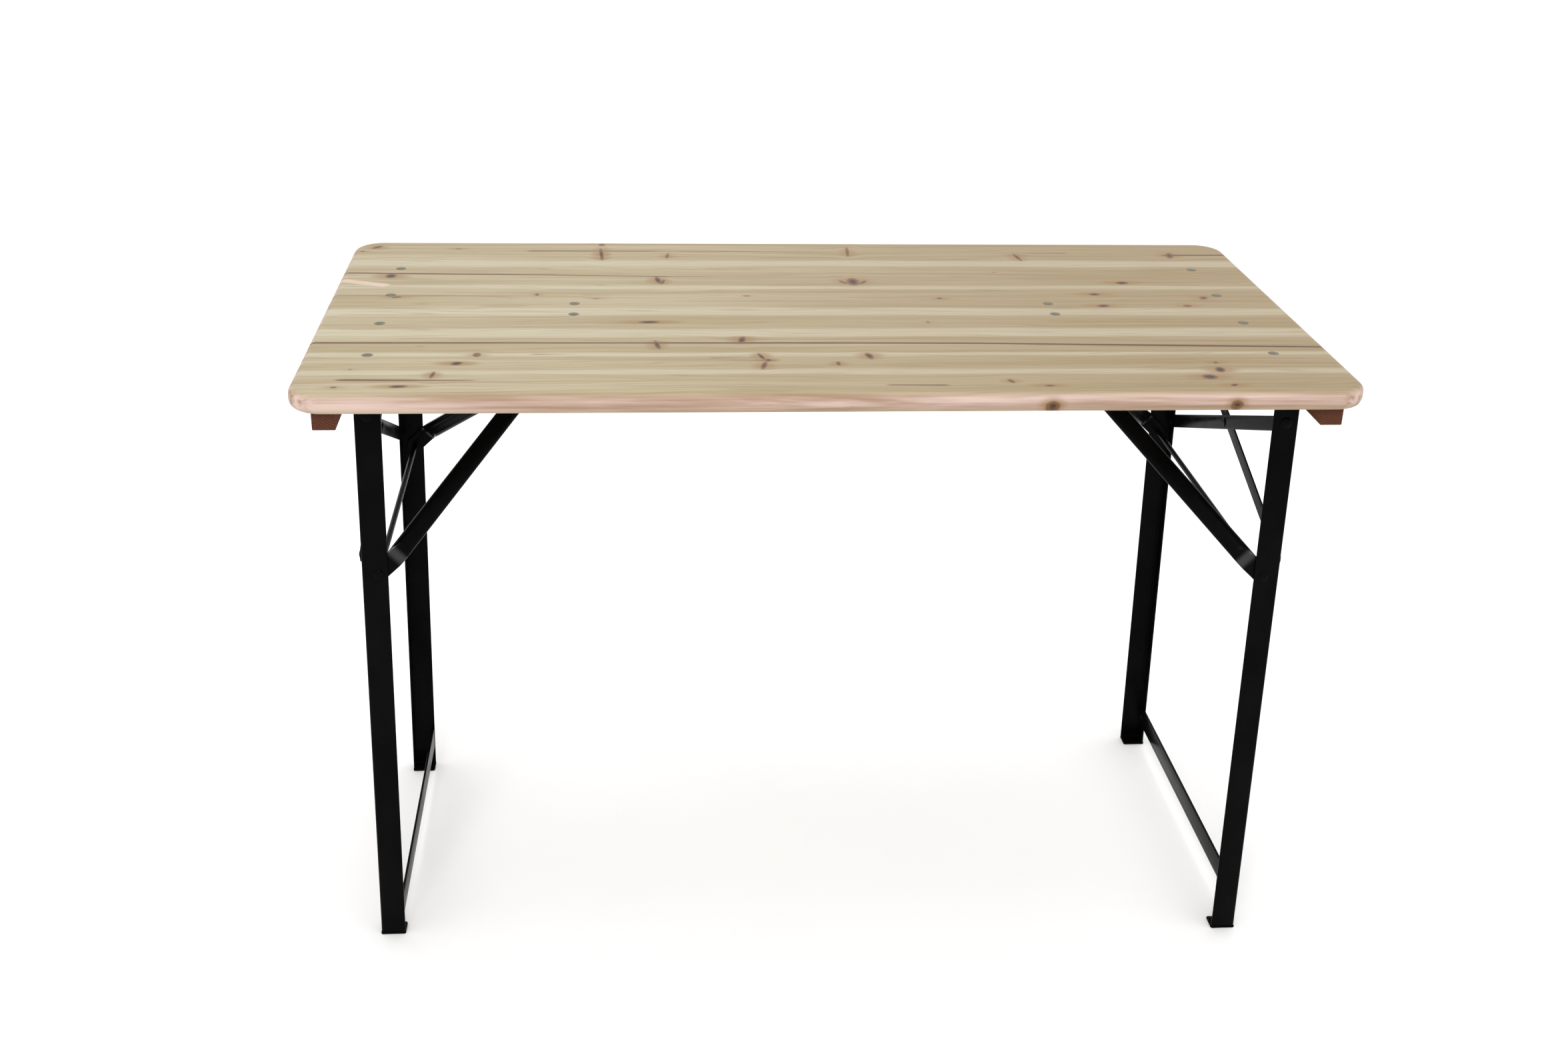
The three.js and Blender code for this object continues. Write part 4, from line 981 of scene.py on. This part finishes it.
def nose_part():
    """The nose plate in (x, z), tapered to a round tip, and the latch bar across it."""
    back = STRUT_LENGTH - NOSE_BACK - 22 * MM
    shoulder = back + 30 * MM
    half = NOSE_HEIGHT / 2
    turn = np.linspace(-math.pi / 2, math.pi / 2, 14)
    tip = np.stack([STRUT_LENGTH + 7 * MM * np.cos(turn), 7 * MM * np.sin(turn)], -1)
    outline = np.vstack([[(back, half), (back, -half), (shoulder, -half)], tip, [(shoulder, half)]])
    plate_part = along("y", plate(outline, -NOSE_THICK / 2, NOSE_THICK / 2, 1.4 * MM, 4))
    bar = [(3.2 * MM, -36 * MM), (4 * MM, -35.2 * MM), (4 * MM, 35.2 * MM), (3.2 * MM, 36 * MM)]
    return joined([plate_part, moved(along("y", revolved(bar, 24)), (STRUT_LENGTH, 0, 0))])


for side in SIDES:
    body = f"{side}_strut"
    for end in (-1, 1):
        name = f"{side}_{end_name(side, end)}"
        tube, crease = arm_part(HALF_FRAME[side], end)
        arm = painted(f"{name}_strut_tube", on_strut(tube, side), body, 45)
        store(arm.data, "crease", crease)
        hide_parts(f"{name}_strut_arm")
    nose = painted(f"{side}_nose_plate", on_strut(nose_part(), side), body)
    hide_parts(f"{side}_strut_nose")
    seam = STRUT_LENGTH - NOSE_BACK - 14 * MM
    beads = [weld_bead((seam, end * 4.2 * MM, up * 10.4 * MM),
                       (seam + 22 * MM, end * 4.2 * MM, up * 10.4 * MM), 1.3 * MM, 6)
             for end in (-1, 1) for up in (-1, 1)]
    painted(f"{side}_nose_weld", on_strut(joined(beads), side), body, 60)
print("arms:", 4)

# %% [markdown]
# ## Ironwork that stays as it is
# The hinge rails, lugs, latch brackets and springs already have their true shape, so the solids
# stay. Two modifiers finish them: Weld joins the loose triangles, and Bevel softens the edges,
# because a cut steel edge under paint always catches a thin line of light.

# %% Hinge rails, lugs, latch brackets, springs
def soften(name, material, width):
    """A carried-over solid with its finish, its triangles joined and its edges softened."""
    solid = nodes[name]
    solid.data.materials.clear()
    solid.data.materials.append(material)
    weld = solid.modifiers.new("join", "WELD")
    weld.merge_threshold = 0.00001
    bevel = solid.modifiers.new("soft_edges", "BEVEL")
    bevel.width = width
    bevel.segments = 2
    bevel.limit_method = "ANGLE"
    bevel.angle_limit = math.radians(40)
    bevel.harden_normals = False


for side in SIDES:
    for name in ("hinge_rail", "front_hinge_lug", "back_hinge_lug", "latch_bracket"):
        soften(f"{side}_{name}", enamel, 0.35 * MM)
    soften(f"{side}_latch_spring", spring_steel, 0.15 * MM)
print("softened:", sum(1 for thing in nodes.values() if thing.modifiers))

# %% [markdown]
# ## Floor, light and camera
# The table stands on a pale floor in an even, pale light, so that its own colours show. A broad
# soft light from above and in front gives the boards their sheen, and a pale surrounding keeps
# the shadows open. The camera stands in front of the table, a little to the left, looking down.

# %% The studio
def floor_part(reach=9.0):
    """One flat square of floor, just under the feet."""
    corners = np.array([(-1, -1), (1, -1), (1, 1), (-1, 1)], float) * reach
    return np.column_stack([corners, np.full(4, -0.2 * MM)]), [[0, 1, 2, 3]]


def floor_finish():
    material, tree, shader = finish("pale_floor", Roughness=0.85, Specular_IOR_Level=0.2)
    tone = noise(tree, object_coords(tree, (3, 3, 3)), 1.0, 3)
    color = mix(tree, between(tree, tone, 0.3, 0.7), (0.925, 0.925, 0.925, 1), (0.94, 0.94, 0.94, 1))
    tree.links.new(color, shader.inputs["Base Color"])
    return material


points, faces = floor_part()
floor_mesh = bpy.data.meshes.new("floor")
floor_mesh.from_pydata(points, [], faces)
floor_mesh.materials.append(floor_finish())
floor = bpy.data.objects.new("floor", floor_mesh)
bpy.context.scene.collection.objects.link(floor)

world = bpy.data.worlds.new("pale_room")
bpy.context.scene.world = world
world.use_nodes = True
background = world.node_tree.nodes["Background"]
background.inputs["Color"].default_value = (1.0, 1.0, 1.0, 1)
background.inputs["Strength"].default_value = 1.12


def area_light(name, place, aim, size, power, color=(1, 1, 1)):
    """A square soft light at a place, aimed at a point."""
    data = bpy.data.lights.new(name, "AREA")
    data.size, data.energy, data.color = size, power, color
    light = bpy.data.objects.new(name, data)
    light.location = place
    light.rotation_euler = (Vector(aim) - Vector(place)).to_track_quat("-Z", "Y").to_euler()
    bpy.context.scene.collection.objects.link(light)


area_light("main_softbox", (-0.8, -3.2, 3.2), (0, 0, 0.6), 1.2, 46)
area_light("overhead", (0.3, 0.4, 3.4), (0, 0, 0.7), 2.6, 24)

# %% The camera
CAMERA_PLACE = (-0.2236, -2.1414, 1.437)
YAW, PITCH, ROLL = (math.radians(angle) for angle in (5.13, 24.132, 1.554))
forward = Vector((math.sin(YAW) * math.cos(PITCH), math.cos(YAW) * math.cos(PITCH), -math.sin(PITCH)))
level = Vector((math.cos(YAW), -math.sin(YAW), 0))
upward = level.cross(forward)
right = math.cos(ROLL) * level + math.sin(ROLL) * upward
above = math.cos(ROLL) * upward - math.sin(ROLL) * level
# Plain display of the colours, with no film-like curve over them.
bpy.context.scene.view_settings.view_transform = "Standard"
lens = bpy.data.cameras.new("camera")
lens.lens, lens.sensor_width, lens.sensor_fit = 42.122, 36.0, "HORIZONTAL"
camera = bpy.data.objects.new("camera", lens)
turned = Matrix((right, above, -forward)).transposed().to_4x4()
camera.matrix_world = Matrix.Translation(CAMERA_PLACE) @ turned
bpy.context.scene.collection.objects.link(camera)
bpy.context.scene.camera = camera
print("camera looks towards", [round(value, 3) for value in forward])
